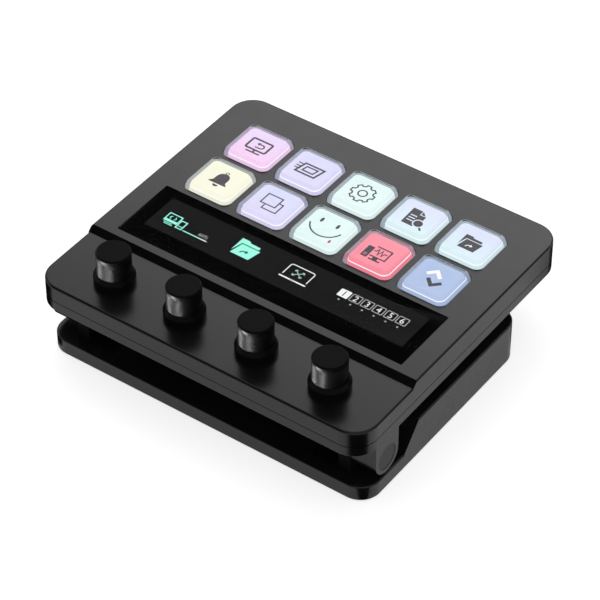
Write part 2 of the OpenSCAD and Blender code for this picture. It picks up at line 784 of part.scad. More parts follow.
module encoder_bodies() {
    color([0.55, 0.55, 0.57]) knob_places() difference() {
        union() {
            translate([0, 0, board_top]) pad(encoder_w, encoder_top - board_top, encoder_corner);
            translate([0, 0, board_top]) cylinder(r = bushing_r, h = deck_z + bushing_h - board_top);
        }
        translate([0, 0, board_top + encoder_floor]) cylinder(r = shaft_r + gap_run, h = knob_h);
    }
}

module knob_collars() {
    hole_r = bushing_r + 2 * gap_fit;
    color([0.06, 0.06, 0.06]) knob_places() translate([0, 0, deck_z]) rotate_extrude() polygon([
        [hole_r, 0], [collar_r, 0], [collar_r, collar_shoulder_h], [collar_in + collar_lip, collar_h],
        [collar_in, collar_h], [collar_in, collar_floor], [hole_r, collar_floor]
    ]);
}

module strip_glass() {
    color([0.02, 0.02, 0.03]) translate([0, front + glass_y, top_z - glass_t])
        slab(glass_w, glass_d, glass_t, glass_r);
}

module strip_display() {
    color([0.1, 0.15, 0.16]) translate([-panel_w / 2, front + panel_y, panel_z])
        cube([panel_w, panel_d, panel_t]);
}

module strip_bracket() {
    color([0.6, 0.6, 0.62]) difference() {
        translate([0, front + strip_mid_y - bracket_d / 2, panel_z - bracket_t])
            slab(strip_bracket_w, bracket_d, bracket_t, plate_corner);
        strip_boss_places() translate([0, 0, panel_z - bracket_t - eps])
            cylinder(r = strip_thread_r, h = bracket_t + 2 * eps);
    }
}

module strip_screws() {
    color([0.5, 0.5, 0.5]) strip_boss_places() translate([0, 0, panel_z - bracket_t]) {
        translate([0, 0, -strip_head_h]) cylinder(r = strip_head_r, h = strip_head_h);
        cylinder(r = strip_screw_r, h = strip_screw_l - gap_fit);
    }
}

// ---- Keys ----

module keycap(i) {
    color([0.85, 0.9, 0.95, 0.5]) translate([key_x[i], front + key_y[i], 0]) difference() {
        union() {
            translate([0, -key_w / 2, flange_z])
                soft_slab(key_w, key_w, top_z + key_rise - flange_z, key_r, key_edge_r);
            translate([0, 0, flange_z]) pad(flange_w, key_flange_t, hole_r + key_flange);
        }
        translate([0, 0, flange_z - eps]) pad(pocket_w, cap_ceiling - flange_z + eps, pocket_r);
    }
}

module key_screen(i) {
    color([0.8, 0.8, 1]) translate([key_x[i], front + key_y[i], 0]) {
        translate([0, 0, screen_z]) pad(screen_w, screen_t, pocket_r - gap_fit);
        translate([0, 0, screen_z - seat_t]) cylinder(r = seat_r, h = seat_t);
        translate([0, 0, stem_bottom]) cylinder(r = stem_r, h = screen_z - stem_bottom);
    }
}

// ---- Knobs ----

module encoder_pusher(i) {
    color([0.9, 0.9, 0.85]) translate([knob_x[i], front + knob_y, pusher_z])
        cylinder(r = pusher_r, h = pusher_t);
}

module encoder_shaft(i) {
    flat_z = hub_bottom - gap_face;
    color([0.75, 0.75, 0.77]) translate([knob_x[i], front + knob_y, 0]) difference() {
        translate([0, 0, shaft_bottom]) cylinder(r = shaft_r, h = shaft_top - shaft_bottom);
        translate([shaft_r - shaft_flat, -shaft_r - eps, flat_z])
            cube([shaft_flat + eps, 2 * (shaft_r + eps), shaft_top - flat_z + eps]);
    }
}

module knob(i) {
    grip_r = knob_r - grip_in;
    rim_z = knob_top - knob_rim_h - knob_bevel;
    color([0.05, 0.05, 0.05]) translate([knob_x[i], front + knob_y, 0]) {
        difference() {
            rotate_extrude() polygon([
                [0, knob_bottom], [grip_r, knob_bottom], [grip_r, rim_z], [knob_r, rim_z + grip_in],
                [knob_r, knob_top - knob_bevel], [knob_r - knob_bevel, knob_top], [0, knob_top]
            ]);
            translate([0, 0, knob_bottom - eps])
                cylinder(r = grip_r - knob_wall, h = knob_top - knob_wall - knob_bottom + eps);
        }
        difference() {
            translate([0, 0, hub_bottom]) cylinder(r = hub_r, h = knob_top - knob_wall / 2 - hub_bottom);
            difference() {
                translate([0, 0, hub_bottom - eps]) cylinder(r = shaft_r + gap_hub, h = shaft_grip + eps);
                translate([shaft_r - shaft_flat + gap_hub, -hub_r, hub_bottom - eps])
                    cube([hub_r, 2 * hub_r, shaft_grip + 2 * eps]);
            }
        }
    }
}

stand_base();
stand_bottom();
stand_weight();
rubber_feet();
stand_screws();
hinge_bracket_left();
hinge_bracket_right();
bracket_screws();
hinge_pin_left();
hinge_pin_right();
friction_washers();
bottom_case();
top_cover();
pin_cap_left();
pin_cap_right();
case_screws();
main_board();
board_screws();
usb_socket();
key_switches();
encoder_bodies();
knob_collars();
strip_glass();
strip_display();
strip_bracket();
strip_screws();
keycap(0);  // keycap_1
keycap(1);  // keycap_2
keycap(2);  // keycap_3
keycap(3);  // keycap_4
keycap(4);  // keycap_5
keycap(5);  // keycap_6
keycap(6);  // keycap_7
keycap(7);  // keycap_8
keycap(8);  // keycap_9
keycap(9);  // keycap_10
key_screen(0);  // key_screen_1
key_screen(1);  // key_screen_2
key_screen(2);  // key_screen_3
key_screen(3);  // key_screen_4
key_screen(4);  // key_screen_5
key_screen(5);  // key_screen_6
key_screen(6);  // key_screen_7
key_screen(7);  // key_screen_8
key_screen(8);  // key_screen_9
key_screen(9);  // key_screen_10
encoder_pusher(0);  // encoder_pusher_1
encoder_pusher(1);  // encoder_pusher_2
encoder_pusher(2);  // encoder_pusher_3
encoder_pusher(3);  // encoder_pusher_4
encoder_shaft(0);  // encoder_shaft_1
encoder_shaft(1);  // encoder_shaft_2
encoder_shaft(2);  // encoder_shaft_3
encoder_shaft(3);  // encoder_shaft_4
knob(0);  // knob_1
knob(1);  // knob_2
knob(2);  // knob_3
knob(3);  // knob_4
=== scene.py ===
"""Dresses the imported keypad: ten picture keys, a display strip and four push knobs on a tilting console.

Sizes are in millimetres in the row frame, and are turned into metres where a mesh is made. X is right,
Y is back, Z is up, and z = 0 is where the feet stand.
"""

from __future__ import annotations

import logging
import math
from dataclasses import dataclass, field
from enum import Enum
from typing import Sequence

import bmesh
import bpy
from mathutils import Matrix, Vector
from mathutils.geometry import tessellate_polygon

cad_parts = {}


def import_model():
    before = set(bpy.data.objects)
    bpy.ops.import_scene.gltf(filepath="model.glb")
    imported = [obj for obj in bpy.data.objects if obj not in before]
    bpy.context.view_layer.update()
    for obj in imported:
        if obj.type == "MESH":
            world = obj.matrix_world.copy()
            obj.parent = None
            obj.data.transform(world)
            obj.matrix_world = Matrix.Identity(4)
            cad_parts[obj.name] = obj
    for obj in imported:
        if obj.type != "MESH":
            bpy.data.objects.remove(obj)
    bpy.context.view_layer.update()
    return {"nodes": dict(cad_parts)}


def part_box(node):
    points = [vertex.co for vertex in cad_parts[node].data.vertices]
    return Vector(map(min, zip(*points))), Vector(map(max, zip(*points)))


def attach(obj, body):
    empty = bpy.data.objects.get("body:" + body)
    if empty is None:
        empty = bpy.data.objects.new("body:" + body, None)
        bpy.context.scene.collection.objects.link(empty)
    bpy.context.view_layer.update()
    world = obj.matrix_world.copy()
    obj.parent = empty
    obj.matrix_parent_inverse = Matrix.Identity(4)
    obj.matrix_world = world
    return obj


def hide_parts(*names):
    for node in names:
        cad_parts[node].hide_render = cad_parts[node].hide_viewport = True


LOG = logging.getLogger("keypad")
MM = 0.001
Point = tuple[float, float]
Colour = tuple[float, float, float]
Amount = bpy.types.NodeSocket | float
TURN = 2 * math.pi
# Noise scales of the finishes, in cells to a metre, and the stretch that makes noise look brushed
CLOUD_SCALE = 55.0
RUB_SCALE = 140.0
BRUSH_STRETCH = (1.0, 14.0, 14.0)


# ---------------------------------------------------------------- finishes


class Nodes:
    """A short way to fill a node tree."""

    def __init__(self, tree: bpy.types.NodeTree) -> None:
        """Starts from an empty tree.

        Args:
            tree: the tree that the nodes go into.
        """
        self.tree = tree
        tree.nodes.clear()

    def add(self, kind: str, **settings: object) -> bpy.types.Node:
        """Makes one node.

        Args:
            kind: the node's type name.
            settings: the node's properties, and its inputs by name, each a socket or a plain value.

        Returns:
            The new node.
        """
        node = self.tree.nodes.new(kind)
        for key, value in settings.items():
            if hasattr(node, key):
                setattr(node, key, value)
            else:
                self.feed(node.inputs[key.replace("_", " ")], value)
        return node

    def feed(self, target: bpy.types.NodeSocket, value: object) -> None:
        """Links a socket to an input, or sets the input to a plain value."""
        if isinstance(value, bpy.types.NodeSocket):
            self.tree.links.new(value, target)
        else:
            target.default_value = value

    def place(self) -> bpy.types.NodeSocket:
        """Gives the position on the object."""
        return self.add("ShaderNodeTexCoord").outputs["Object"]

    def axes(self) -> bpy.types.NodeOutputs:
        """Gives the position on the object as X, Y and Z."""
        return self.add("ShaderNodeSeparateXYZ", Vector=self.place()).outputs

    def noise(self, place: bpy.types.NodeSocket, scale: float, detail: float = 3.0) -> bpy.types.NodeSocket:
        """Adds a noise pattern.

        Args:
            place: where the pattern reads its position.
            scale: how fine it is, in cells to a metre.
            detail: the number of octaves.

        Returns:
            The pattern's value, from 0 to 1.
        """
        return self.add("ShaderNodeTexNoise", Scale=scale, Detail=detail, Vector=place).outputs["Fac"]

    def spread(self, value: bpy.types.NodeSocket, low: float, high: float,
               start: float = 0.3, end: float = 0.7, kind: str = "LINEAR") -> bpy.types.NodeSocket:
        """Maps a value from start..end to low..high, held at both ends."""
        return self.add("ShaderNodeMapRange", interpolation_type=kind, From_Min=start, From_Max=end,
                        To_Min=low, To_Max=high, Value=value).outputs["Result"]

    def math(self, operation: str, first: Amount, second: Amount = 0.0,
             clamp: bool = False) -> bpy.types.NodeSocket:
        """Adds a sum of one or two values.

        Args:
            operation: the node's operation.
            first: a socket or a plain number.
            second: a socket or a plain number, where the operation takes two.
            clamp: whether the result stays between 0 and 1.

        Returns:
            The result.
        """
        node = self.add("ShaderNodeMath", operation=operation, use_clamp=clamp)
        for target, value in zip(node.inputs, (first, second)):
            self.feed(target, value)
        return node.outputs["Value"]

    def vector_math(self, operation: str, first: object, second: object) -> bpy.types.NodeOutputs:
        """Adds a sum of two vectors, each a socket or a plain vector."""
        node = self.add("ShaderNodeVectorMath", operation=operation)
        for target, value in zip(node.inputs, (first, second)):
            self.feed(target, value)
        return node.outputs

    def glow(self, kind: str, level: Amount) -> bpy.types.NodeSocket:
        """Adds white light of a given level.

        Args:
            kind: the emission or background node's type name.
            level: the strength, as a socket or a plain number.

        Returns:
            The shader.
        """
        return self.add(kind, Color=(1.0, 1.0, 1.0, 1.0), Strength=level).outputs[0]

    def blend(self, share: bpy.types.NodeSocket, first: Colour, second: Colour) -> bpy.types.NodeSocket:
        """Mixes two colours by a share from 0 to 1."""
        return self.add("ShaderNodeMix", data_type="RGBA", A=(*first, 1.0), B=(*second, 1.0),
                        Factor=share).outputs["Result"]

    def mix(self, share: bpy.types.NodeSocket, first: bpy.types.NodeSocket,
            second: bpy.types.NodeSocket) -> bpy.types.NodeSocket:
        """Mixes two shaders by a share from 0 to 1."""
        node = self.add("ShaderNodeMixShader")
        for target, value in zip(node.inputs, (share, first, second)):
            self.feed(target, value)
        return node.outputs["Shader"]

    def rays(self) -> tuple[bpy.types.NodeSocket, bpy.types.NodeSocket]:
        """Tells rays apart, as the export allows.

        Returns:
            1 for rays from the camera or through glass, and 1 for reflected rays.
        """
        path = self.add("ShaderNodeLightPath").outputs
        return self.math("MAXIMUM", path["Is Camera Ray"], path["Is Transmission Ray"]), path["Is Glossy Ray"]

    def end(self, surface: bpy.types.NodeSocket, kind: str = "ShaderNodeOutputMaterial") -> None:
        """Ends a material or the surroundings in a shader."""
        self.add(kind, Surface=surface)


def new_material(name: str, colour: Colour = (1.0, 1.0, 1.0)) -> tuple[bpy.types.Material, Nodes]:
    """Makes an empty material.

    Args:
        name: its name.
        colour: its colour in a plain view.

    Returns:
        The material, and what fills its tree.
    """
    made = bpy.data.materials.new(name)
    made.use_nodes = True
    made.diffuse_color = (*colour, 1.0)
    return made, Nodes(made.node_tree)


def shade(colour: Colour, amount: float) -> Colour:
    """Makes a colour lighter or darker by a factor."""
    return (colour[0] * amount, colour[1] * amount, colour[2] * amount)


class Grain(Enum):
    """How a surface's fine relief is made."""

    MOULDED = "moulded"
    BRUSHED = "brushed"
    POLISHED = "polished"
    RUBBED = "rubbed"


@dataclass(frozen=True)
class Finish:
    """A surface finish: a colour that varies a little, a roughness that varies, and a fine relief."""

    name: str
    colour: Colour
    roughness: float
    metallic: float = 0.0
    specular: float = 0.5
    ior: float = 1.5
    transmission: float = 0.0
    grain: Grain = Grain.MOULDED
    grain_size: float = 0.25
    grain_depth: float = 0.004
    mottling: float = 0.12
    smudge: float = 0.08
    glow: Colour | None = None
    glow_strength: float = 0.0
    sheen_level: float = 1.0

    def material(self) -> bpy.types.Material:
        """Builds the finish, or gives the one that was built before.

        Returns:
            The material.
        """
        made = bpy.data.materials.get(self.name)
        if made is not None and made.get("keypad_finish"):
            return made
        made, nodes = new_material(self.name, self.colour)
        made["keypad_finish"] = True
        place = nodes.place()
        tone = nodes.spread(nodes.noise(place, CLOUD_SCALE), 0.0, 1.0)
        low, high = shade(self.colour, 1 - self.mottling), shade(self.colour, 1 + self.mottling)
        rub = nodes.spread(nodes.noise(place, RUB_SCALE, 5.0), self.roughness * (1 - self.smudge),
                           self.roughness * (1 + self.smudge))
        body = nodes.add("ShaderNodeBsdfPrincipled", Base_Color=nodes.blend(tone, low, high), Roughness=rub,
                         Metallic=self.metallic, IOR=self.ior, Specular_IOR_Level=self.specular,
                         Transmission_Weight=self.transmission, Emission_Strength=self.glow_strength,
                         Specular_Tint=(self.sheen_level,) * 3 + (1.0,))
        self.relief(nodes, place, body)
        if self.glow is not None:
            nodes.feed(body.inputs["Emission Color"], (*self.glow, 1.0))
        nodes.end(body.outputs["BSDF"])
        return made

    def relief(self, nodes: Nodes, place: bpy.types.NodeSocket, body: bpy.types.Node) -> None:
        """Adds the fine relief.

        Args:
            nodes: the tree being filled.
            place: the position that the pattern reads.
            body: the shader that takes the normal.
        """
        if self.grain_depth <= 0:
            return
        if self.grain is Grain.BRUSHED:
            place = nodes.add("ShaderNodeMapping", Scale=BRUSH_STRETCH, Vector=place).outputs["Vector"]
        scale = 1.0 / (self.grain_size * MM)
        if self.grain is Grain.RUBBED:
            height = nodes.add("ShaderNodeTexVoronoi", Scale=scale, Vector=place).outputs["Distance"]
        else:
            height = nodes.noise(place, scale, 2.0)
        bump = nodes.add("ShaderNodeBump", Strength=1.0, Distance=self.grain_depth * MM, Height=height)
        nodes.feed(body.inputs["Normal"], bump.outputs["Normal"])


@dataclass(frozen=True)
class Picture:
    """The light of one key: two tints that run into each other, a painted white highlight rim on the screen's
    sides, a painted glow in the picture's tint on a sleeve below, and a dim painted reflection ring round the
    cap's border.
    """

    name: str
    back: Colour
    front: Colour
    centre: Point
    reach: float = 8.0
    cloud_share: float = 0.12
    # The painted white highlight rim on the screen's sides, and the painted tinted glow below it
    painted_highlight_low: float = 37.86
    painted_highlight_blur: float = 0.12
    strength: float = 0.92
    painted_highlight_strength: float = 1.0
    painted_tint_glow_strength: float = 0.84
    # The painted reflection ring in the cap's border
    guide_colour: Colour = (0.62, 0.72, 0.9)
    guide_strength: float = 0.44
    guide_change: float = 0.1

    def face(self) -> bpy.types.Material:
        """Builds the lit picture, whose two tints run into each other from front to back."""
        made, nodes = new_material(self.name, self.front)
        y = self.centre[1]
        along = nodes.spread(nodes.axes()["Y"], 0.0, 1.0, (y - self.reach) * MM, (y + self.reach) * MM)
        cloud = nodes.spread(nodes.noise(nodes.place(), 70.0, 1.0), -self.cloud_share, self.cloud_share)
        share = nodes.math("ADD", along, cloud, True)
        self.lit(nodes, nodes.blend(share, self.front, self.back), self.strength)
        return made

    def edge(self) -> bpy.types.Material:
        """Builds the lit sides: a painted white highlight along the upper rim, and below it a painted glow in
        the picture's tint.
        """
        made, nodes = new_material(f"{self.name}_edge", self.front)
        blur_low = self.painted_highlight_low - self.painted_highlight_blur
        # Painted highlight: the sides glow white above this height for the bright line along the cap's front
        # edges, and glow in the picture's tint below it as painted light
        rim = nodes.spread(nodes.axes()["Z"], 0.0, 1.0, blur_low * MM, self.painted_highlight_low * MM)
        self.lit(nodes, nodes.blend(rim, self.front, (1.0, 1.0, 1.0)),
                 nodes.spread(rim, self.painted_tint_glow_strength, self.painted_highlight_strength, 0.0, 1.0))
        return made

    def guide(self) -> bpy.types.Material:
        """Builds the dim glow that runs round inside the cap's border: painted light that stands in for the
        grey reflection band in the clear border.
        """
        made, nodes = new_material(f"{self.name}_guide", self.front)
        cloud = nodes.noise(nodes.place(), 300.0, 2.0)
        self.lit(nodes, nodes.blend(cloud, self.front, self.guide_colour),
                 nodes.spread(cloud, self.guide_strength * (1 - self.guide_change),
                              self.guide_strength * (1 + self.guide_change)))
        return made

    @staticmethod
    def lit(nodes: Nodes, colour: bpy.types.NodeSocket, strength: Amount) -> None:
        """Ends a material as a dark body that glows."""
        body = nodes.add("ShaderNodeBsdfPrincipled", Base_Color=(0.03, 0.03, 0.035, 1.0), Roughness=0.35,
                         Emission_Color=colour, Emission_Strength=strength)
        nodes.end(body.outputs["BSDF"])


def lit_mark(name: str, colour: Colour, glow: Colour, glow_strength: float = 1.0, roughness: float = 0.5,
             specular: float = 0.5, mottling: float = 0.12) -> Finish:
    """Makes the smooth finish of a mark or print that glows.

    Args:
        name: the finish's name.
        colour: its own colour.
        glow: the colour of its light.
        glow_strength: the strength of its light.
        roughness: how matt it is.
        specular: how strongly it mirrors.
        mottling: how much its colour varies.

    Returns:
        The finish.
    """
    return Finish(name, colour, roughness, specular=specular, grain_depth=0.0, mottling=mottling, glow=glow,
                  glow_strength=glow_strength)


class Finishes:
    """Every finish of the keypad, by its use."""

    shell = Finish("satin_black_shell", (0.0036, 0.0036, 0.0037), 0.24, grain_size=0.22, grain_depth=0.0016)
    # A lighter, more mirroring copy of the shell finish for the stand: painted light that makes up for the
    # shaded floor in its reflections
    stand = Finish("satin_black_stand_lightened", (0.0055, 0.0055, 0.0056), 0.26, specular=0.6, grain_size=0.22,
                   grain_depth=0.0016)
    shell_under = Finish("satin_black_underside", (0.011, 0.011, 0.0115), 0.42, grain_size=0.35,
                         grain_depth=0.005)
    rubber = Finish("foot_rubber_grey", (0.02, 0.02, 0.02), 0.75, specular=0.3, grain=Grain.RUBBED,
                    grain_size=0.5, grain_depth=0.02, mottling=0.25)
    dark_screw = Finish("black_oxide_steel", (0.045, 0.045, 0.05), 0.36, metallic=1.0, grain=Grain.BRUSHED,
                        grain_size=0.6, grain_depth=0.002)
    steel = Finish("zinc_steel", (0.52, 0.52, 0.54), 0.32, metallic=1.0, grain=Grain.BRUSHED, grain_size=0.8,
                   grain_depth=0.003, mottling=0.08)
    # Near-black and matt, so that the hinge bracket and its screws under the console read as dark as the
    # shade there: painted shade
    painted = Finish("near_black_hinge_steel", (0.0028, 0.0028, 0.003), 0.6, specular=0.08,
                     grain_size=0.5, grain_depth=0.006)
    blackened = Finish("near_black_bracket_screw", (0.003, 0.003, 0.0032), 0.5, specular=0.12,
                       grain=Grain.BRUSHED, grain_size=0.6, grain_depth=0.002)
    brass = Finish("washer_brass_turned", (0.62, 0.42, 0.18), 0.3, metallic=1.0, grain=Grain.BRUSHED,
                   grain_size=0.5, grain_depth=0.002)
    plug = Finish("warm_grey_plug", (0.0075, 0.0062, 0.005), 0.33, specular=0.28, grain_size=0.3,
                  grain_depth=0.004)
    board = Finish("green_solder_mask", (0.012, 0.085, 0.035), 0.28, grain_size=0.9, grain_depth=0.004,
                   mottling=0.2)
    port = Finish("drawn_port_steel", (0.58, 0.58, 0.6), 0.22, metallic=1.0, grain=Grain.BRUSHED,
                  grain_size=0.6, grain_depth=0.001)
    switch = Finish("switch_housing", (0.018, 0.018, 0.019), 0.4)
    collar = Finish("collar_semi_gloss", (0.0036, 0.0036, 0.0038), 0.3, specular=0.065, grain_size=0.3,
                    grain_depth=0.0015)
    knob = Finish("knob_black_anodised", (0.0034, 0.0034, 0.0036), 0.36, specular=0.045, grain_size=0.15,
                  grain_depth=0.0012)
    knurl = Finish("knob_knurl", (0.002, 0.002, 0.0021), 0.27, specular=0.14, grain_depth=0.0)
    nylon = Finish("natural_nylon", (0.62, 0.6, 0.55), 0.45)
    glass = Finish("strip_cover_glass", (1.0, 1.0, 1.0), 0.0, ior=1.035, transmission=1.0,
                   grain=Grain.POLISHED, grain_depth=0.0, mottling=0.0, smudge=0.0)
    # The black print mirrors nothing and glows faintly instead: painted light that sets how bright the print
    # reads under the glass
    border = lit_mark("strip_black_print", (0.0, 0.0, 0.0), (0.0017, 0.0017, 0.0018), roughness=0.6,
                      specular=0.0)
    panel = lit_mark("strip_panel_lit", (0.0, 0.0, 0.0), (0.0126, 0.0126, 0.0132), specular=0.0)
    mint = lit_mark("strip_mint_light", (0.02, 0.05, 0.04), (0.30, 0.93, 0.75), 0.92, mottling=0.02)
    pale_mint = lit_mark("strip_pale_mint_light", (0.03, 0.05, 0.04), (0.48, 0.72, 0.64), 0.85, mottling=0.02)
    white = lit_mark("strip_white_light", (0.05, 0.05, 0.05), (0.95, 0.97, 0.97), 0.85, mottling=0.02)
    dim = lit_mark("strip_grey_light", (0.03, 0.03, 0.03), (0.42, 0.42, 0.42), 0.8, mottling=0.02)
    panel_dark = lit_mark("strip_icon_gap", (0.003, 0.003, 0.003), (0.008, 0.02, 0.018), specular=0.1)
    ink = lit_mark("picture_ink", (0.02, 0.018, 0.022), (0.034, 0.03, 0.038), specular=0.1)
    white_ink = lit_mark("picture_white_ink", (0.05, 0.05, 0.05), (0.98, 0.97, 1.0), 0.95, specular=0.1)
    red_ink = lit_mark("picture_red_ink", (0.3, 0.01, 0.03), (0.36, 0.02, 0.06), specular=0.1)


NODE_FINISH: dict[str, Finish] = {
    "case_plastic": Finishes.shell,
    "bottom_plastic": Finishes.shell_under,
    "foot_rubber": Finishes.rubber,
    "dark_screw": Finishes.dark_screw,
    "plain_steel": Finishes.steel,
    "hinge_steel": Finishes.painted,
    "washer_brass": Finishes.brass,
    "cap_plastic": Finishes.plug,
    "board_green": Finishes.board,
    "port_steel": Finishes.port,
    "switch_plastic": Finishes.switch,
    "collar_plastic": Finishes.collar,
    "pusher_plastic": Finishes.nylon,
    "knob_black": Finishes.knob,
}


# ---------------------------------------------------------------- meshes


def piece(name: str, shape: bmesh.types.BMesh, finishes: Sequence[bpy.types.Material], body: str,
          smooth: float = 30.0) -> bpy.types.Object:
    """Turns a shape in millimetres into a piece that rides on a body.

    Args:
        name: the piece's name.
        shape: the mesh being built, in millimetres; it is freed.
        finishes: its materials, in the order of the faces' indices.
        body: the CAD body that it moves with.
        smooth: edges flatter than this angle in degrees are shaded smooth.

    Returns:
        The new object, at the origin.
    """
    bmesh.ops.scale(shape, vec=(MM, MM, MM), verts=shape.verts)
    mesh = bpy.data.meshes.new(name)
    shape.to_mesh(mesh)
    shape.free()
    for material in finishes:
        mesh.materials.append(material)
    mesh.shade_smooth()
    mesh.set_sharp_from_angle(angle=math.radians(smooth))
    obj = bpy.data.objects.new(name, mesh)
    bpy.context.scene.collection.objects.link(obj)
    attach(obj, body)
    return obj


def rounded_rectangle(half_x: float, half_y: float, radius: float, steps: int = 8) -> list[Point]:
    """Gives a rectangle with round corners, going left round from the right side's front.

    Args:
        half_x: half its width.
        half_y: half its depth.
        radius: the corners' radius.
        steps: the number of steps in each corner.

    Returns:
        The outline about (0, 0).
    """
    outline = []
    for corner, (sx, sy) in enumerate(((1, -1), (1, 1), (-1, 1), (-1, -1))):
        for step in range(steps + 1):
            angle = math.radians(-90 + 90 * corner + 90 * step / steps)
            outline.append((sx * (half_x - radius) + radius * math.cos(angle),
                            sy * (half_y - radius) + radius * math.sin(angle)))
    return outline


class Pen:
    """Draws flat marks, each a thin solid, into one mesh."""

    def __init__(self, centre: Point, low: float, high: float,
                 shape: bmesh.types.BMesh | None = None) -> None:
        """Starts with nothing drawn.

        Args:
            centre: where (0, 0) of the drawing lies.
            low: the marks' underside.
            high: the marks' upper side.
            shape: the mesh that takes the marks, where it isn't a new one.
        """
        self.shape = bmesh.new() if shape is None else shape
        self.centre = centre
        self.low = low
        self.high = high
        self.ink = 0

    def area(self, outline: Sequence[Point], lift: float = 0.0) -> None:
        """Fills an outline.

        Args:
            outline: its corners.
            lift: how far the mark stands over the others.
        """
        flat = [Vector((x, y, 0.0)) for x, y in outline]
        cx, cy = self.centre
        top = [self.shape.verts.new((cx + p.x, cy + p.y, self.high + lift)) for p in flat]
        foot = [self.shape.verts.new((cx + p.x, cy + p.y, self.low)) for p in flat]
        for a, b, c in tessellate_polygon([flat]):
            up = (flat[b] - flat[a]).cross(flat[c] - flat[a]).z > 0
            first, last = (a, c) if up else (c, a)
            self.face((top[first], top[b], top[last]))
            self.face((foot[last], foot[b], foot[first]))
        leftward = self.turns_left(outline)
        for i in range(len(flat)):
            j = (i + 1) % len(flat)
            a, b = (i, j) if leftward else (j, i)
            self.face((foot[a], foot[b], top[b], top[a]))

    @staticmethod
    def turns_left(outline: Sequence[Point]) -> bool:
        """Tells whether an outline goes left round."""
        return sum(x * after_y - after_x * y
                   for (x, y), (after_x, after_y) in zip(outline, [*outline[1:], outline[0]])) > 0

    def face(self, corners: Sequence[bmesh.types.BMVert]) -> None:
        """Adds one face in the present ink."""
        if len(set(corners)) < 3:
            return
        try:
            self.shape.faces.new(corners).material_index = self.ink
        except ValueError:
            pass

    def line(self, points: Sequence[Point], width: float, closed: bool = False, lift: float = 0.0) -> None:
        """Draws a line of a given width with mitred bends.

        Args:
            points: the line's middle.
            width: how wide it is.
            closed: whether it runs back to its start.
            lift: how far the mark stands over the others.
        """
        count = len(points)
        left, right = [], []
        for i in range(count):
            before = points[i - 1] if closed or i > 0 else None
            after = points[(i + 1) % count] if closed or i < count - 1 else None
            here = Vector(points[i])
            sides = []
            if before is not None:
                sides.append((here - Vector(before)).normalized())
            if after is not None:
                sides.append((Vector(after) - here).normalized())
            normal = sum((Vector((-s.y, s.x)) for s in sides), Vector((0.0, 0.0))).normalized()
            reach = max(normal.dot(Vector((-sides[0].y, sides[0].x))), 0.35)
            offset = normal * (width / 2 / reach)
            left.append(tuple(here + offset))
            right.append(tuple(here - offset))
        if closed:
            self.band(right, left, lift)
        else:
            self.area(left + right[::-1], lift)

    def band(self, outer: Sequence[Point], inner: Sequence[Point], lift: float = 0.0) -> None:
        """Fills the band between two outlines with equally many corners.

        Args:
            outer: the outer corners.
            inner: the inner corners, in the same order.
            lift: how far the mark stands over the others.
        """
        cx, cy = self.centre
        count = len(outer)
        rings = [[self.shape.verts.new((cx + x, cy + y, z)) for x, y in loop]
                 for loop, z in ((outer, self.high + lift), (inner, self.high + lift),
                                 (inner, self.low), (outer, self.low))]
        leftward = self.turns_left(outer)
        for i in range(count):
            j = (i + 1) % count
            for first, second in zip(rings, rings[1:] + rings[:1]):
                corners = (first[i], first[j], second[j], second[i])
                self.face(corners if leftward else corners[::-1])

    def bent_arrow(self, x: float, y: float, size: float, lift: float) -> None:
        """Draws an arrow that bends to the right.

        Args:
            x: the arrow's middle, to the right.
            y: the arrow's middle, to the back.
            size: its half width.
            lift: how far it stands over the others.
        """
        shaft = arc(x - 0.1 * size, y - 0.8 * size, size, 170, 90, 6)
        self.line([(x - 1.2 * size, y - 0.9 * size), *shaft, (x + 0.5 * size, y + 0.2 * size)],
                  0.42 * size, lift=lift)
        self.area([(x + 0.4 * size, y - 0.6 * size), (x + 1.4 * size, y + 0.2 * size),
                   (x + 0.4 * size, y + 1.0 * size)], lift)

    def open_folder(self, x: float, y: float, size: float, gap_ink: int) -> None:
        """Draws an open folder: a back with a tab, a leaning front and an arrow on it.

        Args:
            x: the middle, to the right.
            y: the middle, to the back.
            size: the size, 1 for a front of 6.7 mm.
            gap_ink: the arrow's ink.
        """
        back = ((-3.75, -2.7), (-2.62, 1.45), (3.5, 1.45), (3.5, 2.6), (-0.25, 2.7), (-0.9, 3.4),
                (-3.75, 3.4))
        front = ((-3.35, -3.95), (3.35, -3.95), (4.4, 1.1), (-2.3, 1.1))
        for outline in (back, front):
            self.area([(x + a * size, y + b * size) for a, b in outline])
        kept, self.ink = self.ink, gap_ink
        self.bent_arrow(x + 0.35 * size, y - 1.7 * size, 0.95 * size, 0.015)
        self.ink = kept

    def disc(self, x: float, y: float, radius: float, radius_y: float | None = None, lift: float = 0.0,
             steps: int = 28) -> None:
        """Fills a circle or ellipse."""
        self.area(arc(x, y, radius, 0, 360 - 360 / steps, steps - 1, radius_y), lift)

    def ring(self, x: float, y: float, radius: float, width: float, lift: float = 0.0) -> None:
        """Draws a circle's line."""
        self.line(arc(x, y, radius, 0, 350, 35), width, closed=True, lift=lift)

    def box(self, x0: float, y0: float, x1: float, y1: float, lift: float = 0.0) -> None:
        """Fills a rectangle."""
        self.area([(x0, y0), (x1, y0), (x1, y1), (x0, y1)], lift)

    def frame(self, x0: float, y0: float, x1: float, y1: float, width: float, radius: float = 0.0) -> None:
        """Draws a rectangle's line, with round corners where a radius is given."""
        middle = ((x0 + x1) / 2, (y0 + y1) / 2)
        if radius > 0:
            outline = [(middle[0] + x, middle[1] + y)
                       for x, y in rounded_rectangle((x1 - x0) / 2, (y1 - y0) / 2, radius, 4)]
        else:
            outline = [(x0, y0), (x1, y0), (x1, y1), (x0, y1)]
        self.line(outline, width, closed=True)

